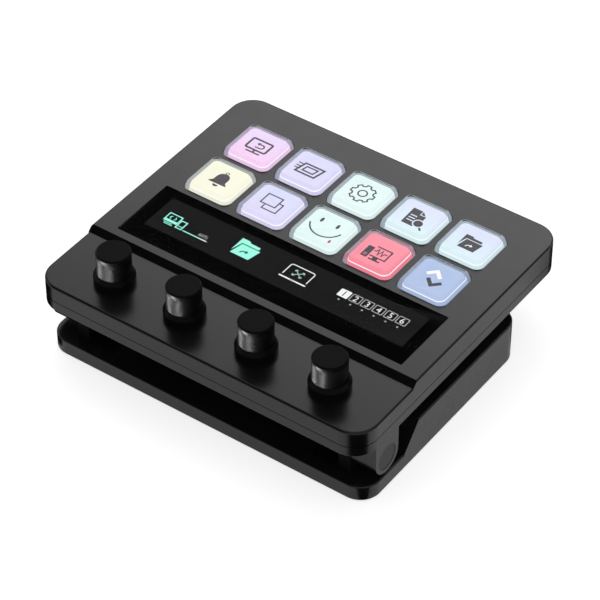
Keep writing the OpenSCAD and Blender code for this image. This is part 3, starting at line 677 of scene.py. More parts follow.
    def words(self, text: str, x: float, y: float, height: float, lift: float = 0.0) -> None:
        """Writes figures, centred on a point.

        Args:
            text: what is written.
            x: the middle, to the right.
            y: the middle, to the back.
            height: the figures' height.
            lift: how far the mark stands over the others.
        """
        curve = bpy.data.curves.new("figures", "FONT")
        curve.body = text
        curve.resolution_u = 3
        holder = bpy.data.objects.new("figures", curve)
        bpy.context.scene.collection.objects.link(holder)
        bpy.context.view_layer.update()
        mesh = bpy.data.meshes.new_from_object(holder.evaluated_get(bpy.context.evaluated_depsgraph_get()))
        bpy.data.objects.remove(holder)
        corners = [v.co.copy() for v in mesh.vertices]
        low = Vector((min(c.x for c in corners), min(c.y for c in corners)))
        high = Vector((max(c.x for c in corners), max(c.y for c in corners)))
        scale = height / (high.y - low.y)
        cx, cy = self.centre
        made = [self.shape.verts.new((cx + x + (c.x - (low.x + high.x) / 2) * scale,
                                      cy + y + (c.y - (low.y + high.y) / 2) * scale,
                                      self.high + lift)) for c in corners]
        for polygon in mesh.polygons:
            loop = [made[i] for i in polygon.vertices]
            self.face(loop if polygon.normal.z > 0 else loop[::-1])
        bpy.data.meshes.remove(mesh)
        bpy.data.curves.remove(curve)


def arc(x: float, y: float, radius: float, start: float, end: float, steps: int,
        radius_y: float | None = None) -> list[Point]:
    """Gives points on an arc.

    Args:
        x: the centre, to the right.
        y: the centre, to the back.
        radius: the radius along X.
        start: the first angle in degrees.
        end: the last angle in degrees.
        steps: the number of steps.
        radius_y: the radius along Y, where it differs.

    Returns:
        steps + 1 points.
    """
    ry = radius if radius_y is None else radius_y
    angles = [math.radians(start + (end - start) * i / steps) for i in range(steps + 1)]
    return [(x + radius * math.cos(a), y + ry * math.sin(a)) for a in angles]


def copy_of(node: bpy.types.Object) -> bmesh.types.BMesh:
    """Copies a CAD node's mesh in millimetres, with its doubles merged.

    Args:
        node: the CAD node's object.

    Returns:
        The copy.
    """
    shape = bmesh.new()
    shape.from_mesh(node.data)
    bmesh.ops.scale(shape, vec=(1 / MM,) * 3, verts=shape.verts)
    bmesh.ops.remove_doubles(shape, verts=shape.verts, dist=0.002)
    return shape


# ---------------------------------------------------------------- studio


@dataclass(frozen=True)
class DarkLobe:
    """A part of the surroundings that glossy surfaces see as dark, with soft edges.

    It is dark where the cosine of the angle to its aim is over inner, and ends where that is under outer.
    """

    aim: tuple[float, float, float]
    inner: float
    outer: float


@dataclass(frozen=True)
class CornerCard:
    """A dark wedge on the floor that only glossy surfaces see, for one round corner of the object.

    Its angles are in degrees.
    """

    name: str
    apex: Point
    aim: float
    half_angle: float
    soft: float = 16.0
    reach: float = 90.0
    height: float = 0.3


@dataclass(frozen=True)
class SoftLamp:
    """A square lamp over the object that no glossy surface shows."""

    name: str
    power: float
    place: tuple[float, float, float]
    side: float


@dataclass
class Studio:
    """Camera, pale floor and soft light."""

    lens: float = 170.26
    sensor: float = 36.0
    azimuth: float = 35.59
    elevation: float = 41.99
    camera_place: tuple[float, float, float] = (440.3, -615.6, 696.9)
    camera_clip_m: tuple[float, float] = (0.01, 100.0)
    floor_half: float = 4000.0
    world_light: float = 0.55
    glossy_light: float = 0.38
    lobes: tuple[DarkLobe, ...] = (DarkLobe((-0.43, -0.64, 0.63), 0.93, 0.78),
                                   DarkLobe((0.669, 0.604, 0.432), 0.97, 0.88))
    softbox_front: float = 130.0
    softbox_back: float = 600.0
    softbox_side: tuple[float, float] = (-450.0, 250.0)
    softbox_height: float = 350.0
    softbox_light: tuple[float, float] = (0.95, 2.1)
    softbox_ramp: tuple[float, float] = (215.0, 345.0)
    floor_colour: float = 0.72
    floor_lift: float = 0.66
    floor_gloss_lift: float = 0.29
    corners: tuple[CornerCard, ...] = (CornerCard("front_right_card", (66.0, -56.0), -35.6, 42.0),
                                       CornerCard("back_right_card", (66.0, 34.0), 102.0, 26.0),
                                       CornerCard("front_left_card", (-66.0, -60.0), -190.0, 38.0))
    soft_lamps: tuple[SoftLamp, ...] = (SoftLamp("key_lamp", 0.9, (-260.0, 240.0, 620.0), 520.0),
                                        SoftLamp("fill_lamp", 0.35, (420.0, -380.0, 420.0), 420.0))
    knob_aim: tuple[float, float, float] = (-0.47, -0.61, -0.6)
    knob_power: float = 24.0
    knob_middle: tuple[float, float, float] = (0.0, -47.5, 44.0)
    knob_lamp_distance: float = 600.0
    knob_lamp_size: Point = (120.0, 380.0)

    def build(self) -> bpy.types.Object:
        """Builds the whole studio.

        Returns:
            The ceiling light.
        """
        self.camera()
        self.world()
        self.floor()
        self.lamps()
        for corner in self.corners:
            self.corner_card(corner)
        return self.softbox()

    def camera(self) -> None:
        """Sets the camera at the photograph's place and angle, with no roll."""
        data = bpy.data.cameras.new("camera")
        data.lens = self.lens
        data.sensor_width = self.sensor
        data.clip_start, data.clip_end = self.camera_clip_m
        holder = bpy.data.objects.new("camera", data)
        holder.location = Vector(self.camera_place) * MM
        holder.rotation_euler = (math.radians(90 - self.elevation), 0.0, math.radians(self.azimuth))
        bpy.context.scene.collection.objects.link(holder)
        bpy.context.scene.camera = holder

    def world(self) -> None:
        """Makes the surroundings: white to the camera, plain to matt surfaces, dimmer to glossy ones."""
        world = bpy.data.worlds.new("studio")
        bpy.context.scene.world = world
        world.use_nodes = True
        nodes = Nodes(world.node_tree)
        direction = nodes.add("ShaderNodeTexCoord").outputs["Generated"]
        level: Amount = self.glossy_light
        for lobe in self.lobes:
            aim = nodes.vector_math("DOT_PRODUCT", direction, Vector(lobe.aim).normalized())["Value"]
            share = nodes.spread(aim, 1.0, 0.0, lobe.outer, lobe.inner, "SMOOTHSTEP")
            level = nodes.math("MULTIPLY", share, level)
        seen, mirrored = nodes.rays()
        plain = nodes.glow("ShaderNodeBackground", self.world_light)
        lit = nodes.mix(mirrored, plain, nodes.glow("ShaderNodeBackground", level))
        nodes.end(nodes.mix(seen, lit, nodes.glow("ShaderNodeBackground", 1.0)), "ShaderNodeOutputWorld")

    def floor(self) -> None:
        """Lays a plain pale floor that is white where nothing shades it."""
        made, nodes = new_material("pale_floor")
        matt = nodes.add("ShaderNodeBsdfDiffuse", Color=(self.floor_colour,) * 3 + (1.0,))
        seen, mirrored = nodes.rays()
        lift = nodes.math("ADD", nodes.math("MULTIPLY", seen, self.floor_lift),
                          nodes.math("MULTIPLY", mirrored, self.floor_gloss_lift))
        both = nodes.add("ShaderNodeAddShader")
        nodes.feed(both.inputs[0], matt.outputs["BSDF"])
        nodes.feed(both.inputs[1], nodes.glow("ShaderNodeEmission", lift))
        nodes.end(both.outputs["Shader"])
        self.sheet("floor", made, (0, 0, 0), (self.floor_half, self.floor_half))

    def sheet(self, name: str, material: bpy.types.Material, centre: tuple[float, float, float],
              half: Point) -> bpy.types.Object:
        """Makes a level four-cornered sheet.

        Args:
            name: the object's name.
            material: its material.
            centre: its middle.
            half: half its two sides.

        Returns:
            The object.
        """
        mesh = bpy.data.meshes.new(name)
        corners = [(-1, -1), (1, -1), (1, 1), (-1, 1)]
        places = [(Vector(centre) + Vector((x * half[0], y * half[1], 0))) * MM for x, y in corners]
        mesh.from_pydata(places, [], [(0, 1, 2, 3)])
        mesh.materials.append(material)
        obj = bpy.data.objects.new(name, mesh)
        bpy.context.scene.collection.objects.link(obj)
        return obj

    def lamp(self, name: str, power: float, place: Vector, aim: Vector, size: Point) -> bpy.types.Object:
        """Hangs one soft lamp.

        Args:
            name: its name.
            power: its power in watts.
            place: where it hangs.
            aim: the point that it faces.
            size: its two sides.

        Returns:
            The lamp.
        """
        data = bpy.data.lights.new(name, "AREA")
        data.energy = power
        data.shape = "RECTANGLE"
        data.size, data.size_y = size[0] * MM, size[1] * MM
        holder = bpy.data.objects.new(name, data)
        holder.location = place * MM
        holder.rotation_euler = (aim - place).to_track_quat("-Z", "Y").to_euler()
        holder.visible_camera = False
        bpy.context.scene.collection.objects.link(holder)
        return holder

    def lamps(self) -> None:
        """Hangs two soft lamps that light matt surfaces and cast the soft shadow."""
        for soft in self.soft_lamps:
            made = self.lamp(soft.name, soft.power, Vector(soft.place), Vector(), (soft.side, soft.side))
            made.visible_glossy = False

    def knob_lamp(self, knobs: Sequence[bpy.types.Object]) -> None:
        """Hangs a narrow lamp for the bright band on the knobs' flanks, below the level of the floor.

        It lights nothing but the knobs, and nothing but the knobs shades it.

        Args:
            knobs: the objects that it lights.
        """
        group = bpy.data.collections.new("knob_lamp_takers")
        for knob in knobs:
            group.objects.link(knob)
        middle = Vector(self.knob_middle)
        away = Vector(self.knob_aim).normalized() * self.knob_lamp_distance
        lamp = self.lamp("knob_lamp", self.knob_power, middle + away, middle, self.knob_lamp_size)
        lamp.light_linking.receiver_collection = group
        lamp.light_linking.blocker_collection = group

    def softbox(self) -> bpy.types.Object:
        """Hangs a ceiling light that only glossy surfaces see, brighter toward the back.

        Returns:
            The light's sheet.
        """
        made, nodes = new_material("ceiling_softbox")
        start, end = self.softbox_ramp
        level = nodes.spread(nodes.axes()["Y"], *self.softbox_light, start * MM, end * MM)
        nodes.end(nodes.glow("ShaderNodeEmission", level))
        west, east = self.softbox_side
        low, high = self.softbox_front, self.softbox_back
        card = self.sheet("ceiling_softbox", made, ((west + east) / 2, (low + high) / 2, self.softbox_height),
                          ((east - west) / 2, (high - low) / 2))
        self.only_glossy(card)
        return card

    @staticmethod
    def keep_off(light: bpy.types.Object, dark: bpy.types.Object) -> None:
        """Keeps one light off one object.

        Args:
            light: the light.
            dark: the object that doesn't take it.
        """
        group = bpy.data.collections.new(f"{light.name}_takers")
        group.objects.link(dark)
        group.collection_objects[0].light_linking.link_state = "EXCLUDE"
        light.light_linking.receiver_collection = group

    def corner_card(self, corner: CornerCard) -> None:
        """Lays one dark wedge with soft edges on the floor.

        Args:
            corner: where it lies and the way it points.
        """
        made, nodes = new_material(corner.name)
        place = nodes.axes()
        x = nodes.math("SUBTRACT", place["X"], corner.apex[0] * MM)
        y = nodes.math("SUBTRACT", place["Y"], corner.apex[1] * MM)
        turn = math.radians(corner.aim)
        along = nodes.math("ADD", nodes.math("MULTIPLY", x, math.cos(turn)),
                           nodes.math("MULTIPLY", y, math.sin(turn)))
        across = nodes.math("SUBTRACT", nodes.math("MULTIPLY", y, math.cos(turn)),
                            nodes.math("MULTIPLY", x, math.sin(turn)))
        angle = nodes.math("ABSOLUTE", nodes.math("ARCTAN2", across, along))
        clear_share = nodes.spread(angle, 0.0, 1.0, math.radians(corner.half_angle),
                                   math.radians(corner.half_angle + corner.soft))
        clear = nodes.add("ShaderNodeBsdfTransparent").outputs["BSDF"]
        nodes.end(nodes.mix(clear_share, nodes.glow("ShaderNodeEmission", 0.0), clear))
        self.only_glossy(self.sheet(corner.name, made, (*corner.apex, corner.height),
                                    (corner.reach, corner.reach)))

    @staticmethod
    def only_glossy(card: bpy.types.Object) -> None:
        """Makes a card part of the stage, seen by glossy surfaces alone."""
        card.visible_camera = False
        card.visible_diffuse = False
        card.visible_shadow = False
        card.visible_transmission = False


# ---------------------------------------------------------------- keypad


@dataclass
class CarriedNodes:
    """The CAD nodes that keep their own shape and only take a better finish."""

    nodes: dict[str, bpy.types.Object]
    own: dict[str, Finish] = field(default_factory=lambda: {"bracket_screws": Finishes.blackened,
                                                            "stand_base": Finishes.stand})

    def build(self) -> None:
        """Gives every carried node the finish of its slot."""
        for name, node in sorted(self.nodes.items()):
            for place in node.material_slots:
                slot = place.material.name.split(".")[0]
                if slot not in NODE_FINISH:
                    continue
                place.material = self.own.get(name, NODE_FINISH[slot]).material()
            LOG.info("dressed %s", name)


@dataclass
class KeyField:
    """Ten clear caps with leaning sides, over lit pictures."""

    nodes: dict[str, bpy.types.Object]
    face: float = 38.22
    ink_top: float = 38.25
    tile_low: float = 36.6
    # The sleeve under the screen that glows with painted tinted light
    painted_tint_sleeve_low: float = 34.35
    painted_tint_sleeve_wall: float = 0.8
    painted_tint_sleeve_gap: float = 0.03
    # The ring under the cap's border that glows as a painted reflection
    guide_span: tuple[float, float] = (36.25, 36.42)
    guide_half: float = 10.1
    guide_radius: tuple[float, float] = (3.15, 1.9)
    guide_gap: float = 0.06
    cad_half: float = 7.7
    tile_half: float = 8.12
    tile_radius: float = 2.0
    stem_reach: float = 5.0
    side_reach: float = 6.5
    play: float = 0.05
    cap_core: float = 6.95
    cap_lean: float = 0.46
    cap_bend: float = 20.0
    plate_top: float = 38.0
    pocket_half: tuple[float, float] = (7.8, 8.1)
    pocket_play: float = 0.1
    rim: float = 0.12
    clear: Finish = Finish("clear_acrylic", (0.965, 0.978, 1.0), 0.03, ior=1.46, transmission=1.0,
                           grain=Grain.POLISHED, grain_depth=0.0, mottling=0.01, smudge=0.3, sheen_level=0.4)
    tints: dict[int, tuple[Colour, Colour]] = field(default_factory=lambda: {
        1: ((0.86, 0.69, 0.98), (0.97, 0.64, 0.93)),
        2: ((0.72, 0.72, 0.98), (0.76, 0.72, 0.97)),
        3: ((0.78, 0.96, 0.93), (0.82, 0.985, 0.95)),
        4: ((0.74, 0.74, 0.98), (0.74, 0.95, 0.95)),
        5: ((0.74, 0.78, 0.98), (0.74, 0.93, 0.96)),
        6: ((0.97, 0.97, 0.74), (1.0, 0.98, 0.78)),
        7: ((0.72, 0.74, 0.98), (0.76, 0.72, 0.97)),
        8: ((0.80, 0.98, 0.94), (0.80, 0.99, 0.95)),
        9: ((1.0, 0.25, 0.33), (1.0, 0.25, 0.33)),
        10: ((0.405, 0.53, 0.79), (0.44, 0.55, 0.81)),
    })

    def centre(self, key: int) -> Point:
        """Gives a key's centre, to the right and to the back."""
        low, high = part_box(f"key_screen_{key}")
        return (low.x + high.x) / 2 / MM, (low.y + high.y) / 2 / MM

    def build(self) -> None:
        """Builds the caps, pictures and icons."""
        for key in self.tints:
            self.picture(key)
            self.cap(key)
            self.icon(key)
            LOG.info("built key %d", key)

    def picture(self, key: int) -> None:
        """Makes the lit screen, bonded into the cap's pocket, with its stem, a sleeve below that glows with
        painted tinted light, and a ring that glows as a painted reflection in the cap's border.

        Args:
            key: the key's number.
        """
        name = f"key_screen_{key}"
        centre = self.centre(key)
        shape = copy_of(self.nodes[name])
        half = self.tile_half
        grow = half / self.cad_half
        for vertex in shape.verts:
            away = (vertex.co.x - centre[0], vertex.co.y - centre[1])
            if max(abs(away[0]), abs(away[1])) > self.stem_reach:
                vertex.co.x, vertex.co.y = centre[0] + away[0] * grow, centre[1] + away[1] * grow
            if vertex.co.z > (self.tile_low + self.face) / 2:
                vertex.co.z = self.face
        shape.normal_update()
        # The top takes the picture, the tall sides the painted highlight and tinted glow, the rest the dark
        # housing
        for side in shape.faces:
            middle = side.calc_center_median()
            away = max(abs(middle.x - centre[0]), abs(middle.y - centre[1]))
            flat = abs(side.normal.z) > 0.5
            if flat and middle.z > self.face - self.play:
                side.material_index = 0
            else:
                side.material_index = 2 if flat or away < self.side_reach else 1
        # The sleeve below the screen glows in the picture's tint: painted light that tints the cap's lower
        # walls
        sleeve = Pen(centre, self.painted_tint_sleeve_low, self.tile_low - self.painted_tint_sleeve_gap, shape)
        sleeve.ink = 1
        sleeve.band(rounded_rectangle(half, half, self.tile_radius),
                    rounded_rectangle(half - self.painted_tint_sleeve_wall, half - self.painted_tint_sleeve_wall,
                                      self.tile_radius - self.painted_tint_sleeve_wall))
        # The ring under the cap's border glows dimly: painted reflection for the grey band in the clear
        # border
        guide = Pen(centre, *self.guide_span, shape)
        guide.ink = 3
        guide.band(rounded_rectangle(self.guide_half, self.guide_half, self.guide_radius[0]),
                   rounded_rectangle(half + self.guide_gap, half + self.guide_gap, self.guide_radius[1]))
        look = Picture(f"picture_{key}_tint", *self.tints[key], centre)
        made = piece(f"key_picture_{key}", shape,
                     [look.face(), look.edge(), Finishes.switch.material(), look.guide()], f"key_{key}")
        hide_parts(name)

    def cap(self, key: int) -> None:
        """Makes the clear cap: above the plate its sides lean in, and its pocket takes the picture.

        Args:
            key: the key's number.
        """
        name = f"keycap_{key}"
        centre = Vector((*self.centre(key), 0.0))
        shape = copy_of(self.nodes[name])
        bmesh.ops.bisect_plane(shape, geom=[*shape.verts, *shape.edges, *shape.faces],
                               plane_co=(0.0, 0.0, self.plate_top), plane_no=(0.0, 0.0, 1.0))
        grow = self.pocket_half[1] / self.pocket_half[0]
        for vertex in shape.verts:
            away = vertex.co - centre
            reach = max(abs(away.x), abs(away.y))
            if reach < self.pocket_half[0] + self.pocket_play:
                vertex.co.x, vertex.co.y = centre.x + away.x * grow, centre.y + away.y * grow
            elif vertex.co.z > self.plate_top:
                inner = Vector([max(-self.cap_core, min(self.cap_core, along)) for along in away.xy])
                out = away.xy - inner
                out *= 1.0 - self.cap_lean * (vertex.co.z - self.plate_top) / out.length
                vertex.co.x, vertex.co.y = centre.x + inner.x + out.x, centre.y + inner.y + out.y
        shape.normal_update()
        top = max(vertex.co.z for vertex in shape.verts)
        flat = [side for side in shape.faces
                if side.normal.z > 0.999 and side.calc_center_median().z > top - self.play]
        bmesh.ops.inset_region(shape, faces=flat, thickness=self.rim, use_even_offset=True)
        made = piece(f"key_cap_{key}", shape, [self.clear.material()], f"key_{key}", self.cap_bend)
        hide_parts(name)

    def icon(self, key: int) -> None:
        """Draws the key's dark icon on its picture.

        Args:
            key: the key's number.
        """
        pen = Pen(self.centre(key), self.face, self.ink_top)
        pale = Picture(f"icon_{key}_pale", *self.tints[key], self.centre(key)).face()
        drawings = (self.screen_back, self.moving_window, self.gear, self.document, self.folder, self.bell,
                    self.two_windows, self.smile, self.computer, self.chevrons)
        drawings[key - 1](pen)
        inks = [Finishes.ink.material(), pale, Finishes.red_ink.material(), Finishes.white_ink.material()]
        made = piece(f"key_icon_{key}", pen.shape, inks, f"key_{key}")

    def screen_back(self, pen: Pen) -> None:
        """Draws a monitor with a return arrow."""
        pen.frame(-4.25, -2.6, 4.4, 3.25, 0.86, 0.6)
        pen.line([(0.15, -2.5), (0.15, -4.2)], 0.8)
        pen.line([(-2.9, -4.2), (3.2, -4.2)], 0.72)
        pen.line([(-1.0, -1.0), (1.2, -0.95), *arc(1.2, 0.1, 1.05, -90, 90, 10)[1:], (-0.3, 1.15)], 0.62)
        pen.area([(-0.1, 0.25), (-0.1, 2.05), (-1.35, 1.15)])

    def moving_window(self, pen: Pen) -> None:
        """Draws a leaning window with motion lines."""
        pen.line([(-4.5, -3.3), (3.8, -3.3), (5.0, 2.2), (-3.3, 2.2)], 0.82, closed=True)
        pen.line([(-2.35, -1.7), (2.3, -1.75), (2.95, 0.9), (-1.8, 0.8)], 0.68, closed=True)
        for y in (1.35, -0.3, -1.6):
            pen.line([(-5.9, y), (-3.5, y)], 0.55)

    def gear(self, pen: Pen) -> None:
        """Draws a gear's outline with a hole."""
        outline: list[Point] = []
        for tooth in range(8):
            middle = 45.0 * tooth
            for angle, radius in ((-14.5, 3.95), (-9.5, 4.85), (9.5, 4.85), (14.5, 3.95)):
                turn = math.radians(middle + angle)
                outline.append((radius * math.cos(turn), radius * math.sin(turn)))
        pen.line(outline, 0.58, closed=True)
        pen.ring(0.0, 0.0, 1.7, 0.58)

    def document(self, pen: Pen) -> None:
        """Draws a sheet of text under a magnifier."""
        pen.area([(-3.5, -4.7), (1.2, -4.8), (2.9, -3.0), (2.9, 1.9), (0.5, 4.3), (-3.7, 4.3)])
        pen.ink = 1
        pen.area([(0.6, 4.2), (0.6, 2.35), (2.6, 2.35), (2.3, 2.0), (0.25, 2.0), (0.25, 4.3)], 0.01)
        for y in (0.6, -0.85, -2.3):
            pen.line([(-2.7, y), (0.0, y)], 0.5, lift=0.01)
        pen.disc(2.4, -2.4, 2.25, lift=0.01)
        pen.ink = 0
        pen.disc(2.4, -2.4, 1.75, lift=0.02)
        pen.line([(3.9, -4.0), (5.0, -5.3)], 0.75, lift=0.02)

    def folder(self, pen: Pen) -> None:
        """Draws an open folder with an arrow."""
        pen.open_folder(0.1, -0.25, 1.0, 3)

    def bell(self, pen: Pen) -> None:
        """Draws a bell."""
        side = [(-3.5, -2.85), (4.0, -2.65), (3.9, -2.15), (2.95, -1.2), (2.95, 0.9), (2.7, 2.1), (2.05, 3.0),
                (1.0, 3.45), (-0.2, 3.45), (-1.25, 3.0), (-1.95, 2.1), (-2.25, 0.9), (-2.35, -1.2),
                (-3.4, -2.35)]
        pen.area(side)
        pen.ring(0.4, 3.95, 0.6, 0.34)
        pen.area(arc(0.2, -3.35, 1.15, 180, 360, 10, 1.1))

    def two_windows(self, pen: Pen) -> None:
        """Draws two overlapping squares."""
        pen.frame(-4.1, -1.6, 2.2, 3.9, 0.54)
        pen.line([(-1.95, -2.0), (-1.95, -4.1), (4.1, -4.1), (4.1, 1.2), (2.5, 1.2)], 0.54)

    def smile(self, pen: Pen) -> None:
        """Draws two eyes, a wide smile and a small tongue."""
        pen.disc(-3.4, 3.1, 0.6, 1.3)
        pen.disc(3.5, 3.0, 0.6, 1.3)
        pen.line(arc(0.15, 2.2, 6.9, 199, 343, 28), 0.6)
        pen.ink = 2
        pen.disc(5.5, -5.3, 0.5, 0.9, lift=0.01)

    def computer(self, pen: Pen) -> None:
        """Draws a computer beside a screen that shows a wave."""
        pen.box(-5.2, -4.5, -2.6, 1.6)
        pen.line([(-2.2, 2.6), (4.1, 2.6), (4.1, -2.8), (-2.2, -2.8)], 0.58)
        pen.box(-0.5, -4.4, 1.5, -2.8)
        pen.box(-1.7, -4.8, 3.0, -4.15)
        pen.line([(-2.2, 0.2), (-1.3, 0.2), (-0.7, 1.5), (0.1, -1.3), (0.9, 1.5), (1.6, -1.3), (2.2, 0.3),
                  (3.4, 0.3)], 0.42)
        pen.ink = 1
        for y in (-2.6, -3.4):
            pen.box(-4.6, y - 0.14, -3.3, y + 0.14, 0.01)

    def chevrons(self, pen: Pen) -> None:
        """Draws a pale chevron that points back and a dark one that points forward."""
        for ink, x, side in ((3, -0.9, 1), (0, 0.9, -1)):
            pen.ink = ink
            pen.line([(x - 2.8, side * 0.9), (x, side * 3.7), (x + 2.8, side * 0.9)], 1.5)


@dataclass
class DisplayStrip:
    """The cover glass, its black print, the lit panel and what the panel shows."""

    nodes: dict[str, bpy.types.Object]
    panel_top: float = 36.8
    mark_top: float = 36.86
    print_low: float = 36.9
    print_top: float = 36.96
    glass_low: float = 36.99
    active_x: float = 55.8
    active_y: tuple[float, float] = (-18.6, -1.2)
    glass_x: float = 61.1
    glass_y: tuple[float, float] = (-26.9, 2.0)
    page_count: int = 6
    page_start: Point = (24.25, -7.65)
    page_pitch: float = 4.88
    dot_start: tuple[float, float, float] = (24.2, -11.18, 36.83)
    dot_pitch: float = 4.93
    dot_radius: float = 0.36
    dot_thickness: float = 0.06

    def build(self) -> bpy.types.Object:
        """Builds the strip from the panel up.

        Returns:
            The cover glass.
        """
        self.panel()
        self.print()
        self.marks()
        self.page_dots()
        return self.glass()

    def panel(self) -> None:
        """Makes the panel, its face a hair under the glass."""
        shape = copy_of(self.nodes["strip_display"])
        for vertex in shape.verts:
            vertex.co.z = min(vertex.co.z, self.panel_top)
        bmesh.ops.dissolve_limit(shape, angle_limit=0.02, verts=shape.verts, edges=shape.edges)
        bmesh.ops.bevel(shape, geom=list(shape.edges), offset=0.2, segments=2, affect="EDGES")
        made = piece("display_panel", shape, [Finishes.panel.material()], "console")
        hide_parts("strip_display")

    def print(self) -> None:
        """Makes the black print round the lit area, under the glass."""
        pen = Pen((0.0, 0.0), self.print_low, self.print_top)
        middle = sum(self.glass_y) / 2
        outer = [(x, y + middle) for x, y in
                 rounded_rectangle(self.glass_x, (self.glass_y[1] - self.glass_y[0]) / 2, 0.3, 4)]
        low, high = self.active_y
        inner = [(x, y + (low + high) / 2)
                 for x, y in rounded_rectangle(self.active_x, (high - low) / 2, 0.2, 4)]
        pen.band(outer, inner)
        made = piece("display_print", pen.shape, [Finishes.border.material()], "console")

    def glass(self) -> bpy.types.Object:
        """Makes the cover glass, its underside just over the print.

        Returns:
            The glass.
        """
        shape = copy_of(self.nodes["strip_glass"])
        for vertex in shape.verts:
            vertex.co.z = max(vertex.co.z, self.glass_low)
        made = piece("display_glass", shape, [Finishes.glass.material()], "console")
        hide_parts("strip_glass")
        return made

    def marks(self) -> None:
        """Draws what the panel shows."""
        pen = Pen((0.0, 0.0), self.panel_top, self.mark_top)
        self.computers(pen)
        self.folder(pen)
        self.laptop(pen)
        self.pages(pen)
        looks = (Finishes.mint, Finishes.white, Finishes.dim, Finishes.panel_dark, Finishes.pale_mint)
        made = piece("display_marks", pen.shape, [look.material() for look in looks], "console")

    def computers(self, pen: Pen) -> None:
        """Draws a monitor, a phone and the progress line."""
        pen.frame(-51.6, -12.2, -46.1, -8.1, 0.4)
        pen.box(-51.8, -12.5, -45.9, -11.3)
        pen.frame(-45.5, -13.6, -43.0, -9.5, 0.42)
        for start, end, y in ((-51.0, -47.4, -13.1), (-50.6, -46.9, -13.8), (-45.2, -43.3, -12.4)):
            pen.line([(start, y), (end, y)], 0.3)
        for start, end in ((-50.4, -49.6), (-47.6, -48.3)):
            for y in (-9.2, -10.8):
                pen.line([(start, -10.1), (end, y)], 0.3)
        pen.line([(-42.2, -13.55), (-34.6, -13.55)], 0.42)
        pen.ink = 1
        pen.line([(-34.6, -13.55), (-31.6, -13.55)], 0.42)
        pen.ink = 2
        pen.words("60%", -34.2, -11.7, 1.7)
        pen.ink = 0

    def folder(self, pen: Pen) -> None:
        """Draws a lit open folder with an arrow."""
        pen.open_folder(-17.7, -8.25, 1.17, 3)

    def laptop(self, pen: Pen) -> None:
        """Draws a white laptop with four arrows on its screen."""
        pen.ink = 1
        pen.line([(0.2, -11.3), (0.2, -5.9), (0.8, -5.25), (9.8, -5.25), (10.4, -5.9), (10.4, -11.3)], 0.36)
        pen.area([(-0.6, -12.3), (-0.3, -12.9), (10.7, -12.9), (11.0, -12.3)])
        pen.ink = 2
        pen.box(4.2, -12.75, 6.4, -12.45, 0.01)
        pen.ink = 4
        x, y = 5.25, -8.67
        for sx, sy in ((1, 1), (1, -1), (-1, 1), (-1, -1)):
            pen.line([(x + 0.1 * sx, y + 0.08 * sy), (x + 1.75 * sx, y + 1.4 * sy)], 0.24)
            pen.line([(x + 0.9 * sx, y + 1.5 * sy), (x + 1.85 * sx, y + 1.5 * sy),
                      (x + 1.85 * sx, y + 0.7 * sy)], 0.24)
        pen.ink = 0

    def pages(self, pen: Pen) -> None:
        """Draws the numbered page boxes, the first one filled."""
        for number in range(self.page_count):
            x = self.page_start[0] + self.page_pitch * number
            y = self.page_start[1]
            if number == 0:
                pen.ink = 1
                pen.area([(x + a, y + b) for a, b in rounded_rectangle(2.15, 1.95, 0.3, 3)])
                pen.ink = 3
                pen.words("1", x, y, 2.7, 0.02)
            else:
                pen.ink = 2
                pen.frame(x - 2.0, y - 1.8, x + 2.0, y + 1.8, 0.3, 0.3)
                pen.ink = 1
                pen.words(str(number + 1), x, y, 2.6)
        pen.ink = 0

    def page_dots(self) -> None:
        """Sets a row of small round lights under the page boxes, by Geometry Nodes."""
        tree, nodes, given = new_tree("page_dot_row", {
            "Count": "Int", "Pitch": "Float", "Radius": "Float", "Thickness": "Float", "Start": "Vector",
            "Look": "Material"})
        step = nodes.add("ShaderNodeCombineXYZ", X=given["Pitch"]).outputs["Vector"]
        row = nodes.add("GeometryNodeMeshLine", Count=given["Count"], Start_Location=given["Start"],
                        Offset=step).outputs["Mesh"]
        dot = nodes.add("GeometryNodeMeshCylinder", Vertices=16, Radius=given["Radius"],
                        Depth=given["Thickness"]).outputs["Mesh"]
        dots = nodes.add("GeometryNodeInstanceOnPoints", Points=row, Instance=dot)
        finish_tree(nodes, dots.outputs["Instances"], given["Look"])
        made = grown("display_page_dots", tree, {
            "Count": self.page_count, "Pitch": self.dot_pitch * MM, "Radius": self.dot_radius * MM,
            "Thickness": self.dot_thickness * MM, "Start": tuple(along * MM for along in self.dot_start),
            "Look": Finishes.dim.material()}, "console")


def new_tree(name: str, inputs: dict[str, str]) -> tuple[bpy.types.NodeTree, Nodes, bpy.types.NodeOutputs]:
    """Starts a Geometry Nodes tree.

    Args:
        name: the tree's name.
        inputs: its inputs' names, each with its kind.

    Returns:
        The tree, what fills it, and its inputs.
    """
    tree = bpy.data.node_groups.new(name, "GeometryNodeTree")
    tree.interface.new_socket("Geometry", in_out="OUTPUT", socket_type="NodeSocketGeometry")
    for label, kind in inputs.items():
        tree.interface.new_socket(label, in_out="INPUT", socket_type=f"NodeSocket{kind}")
    nodes = Nodes(tree)
    return tree, nodes, nodes.add("NodeGroupInput").outputs


def finish_tree(nodes: Nodes, instances: bpy.types.NodeSocket, look: bpy.types.NodeSocket) -> None:
    """Ends a Geometry Nodes tree with Realize Instances and Set Material.

    Args:
        nodes: what fills the tree.
        instances: the instances.
        look: the material input.
    """
    real = nodes.add("GeometryNodeRealizeInstances", Geometry=instances).outputs["Geometry"]
    painted = nodes.add("GeometryNodeSetMaterial", Geometry=real, Material=look).outputs["Geometry"]
    nodes.add("NodeGroupOutput", Geometry=painted)


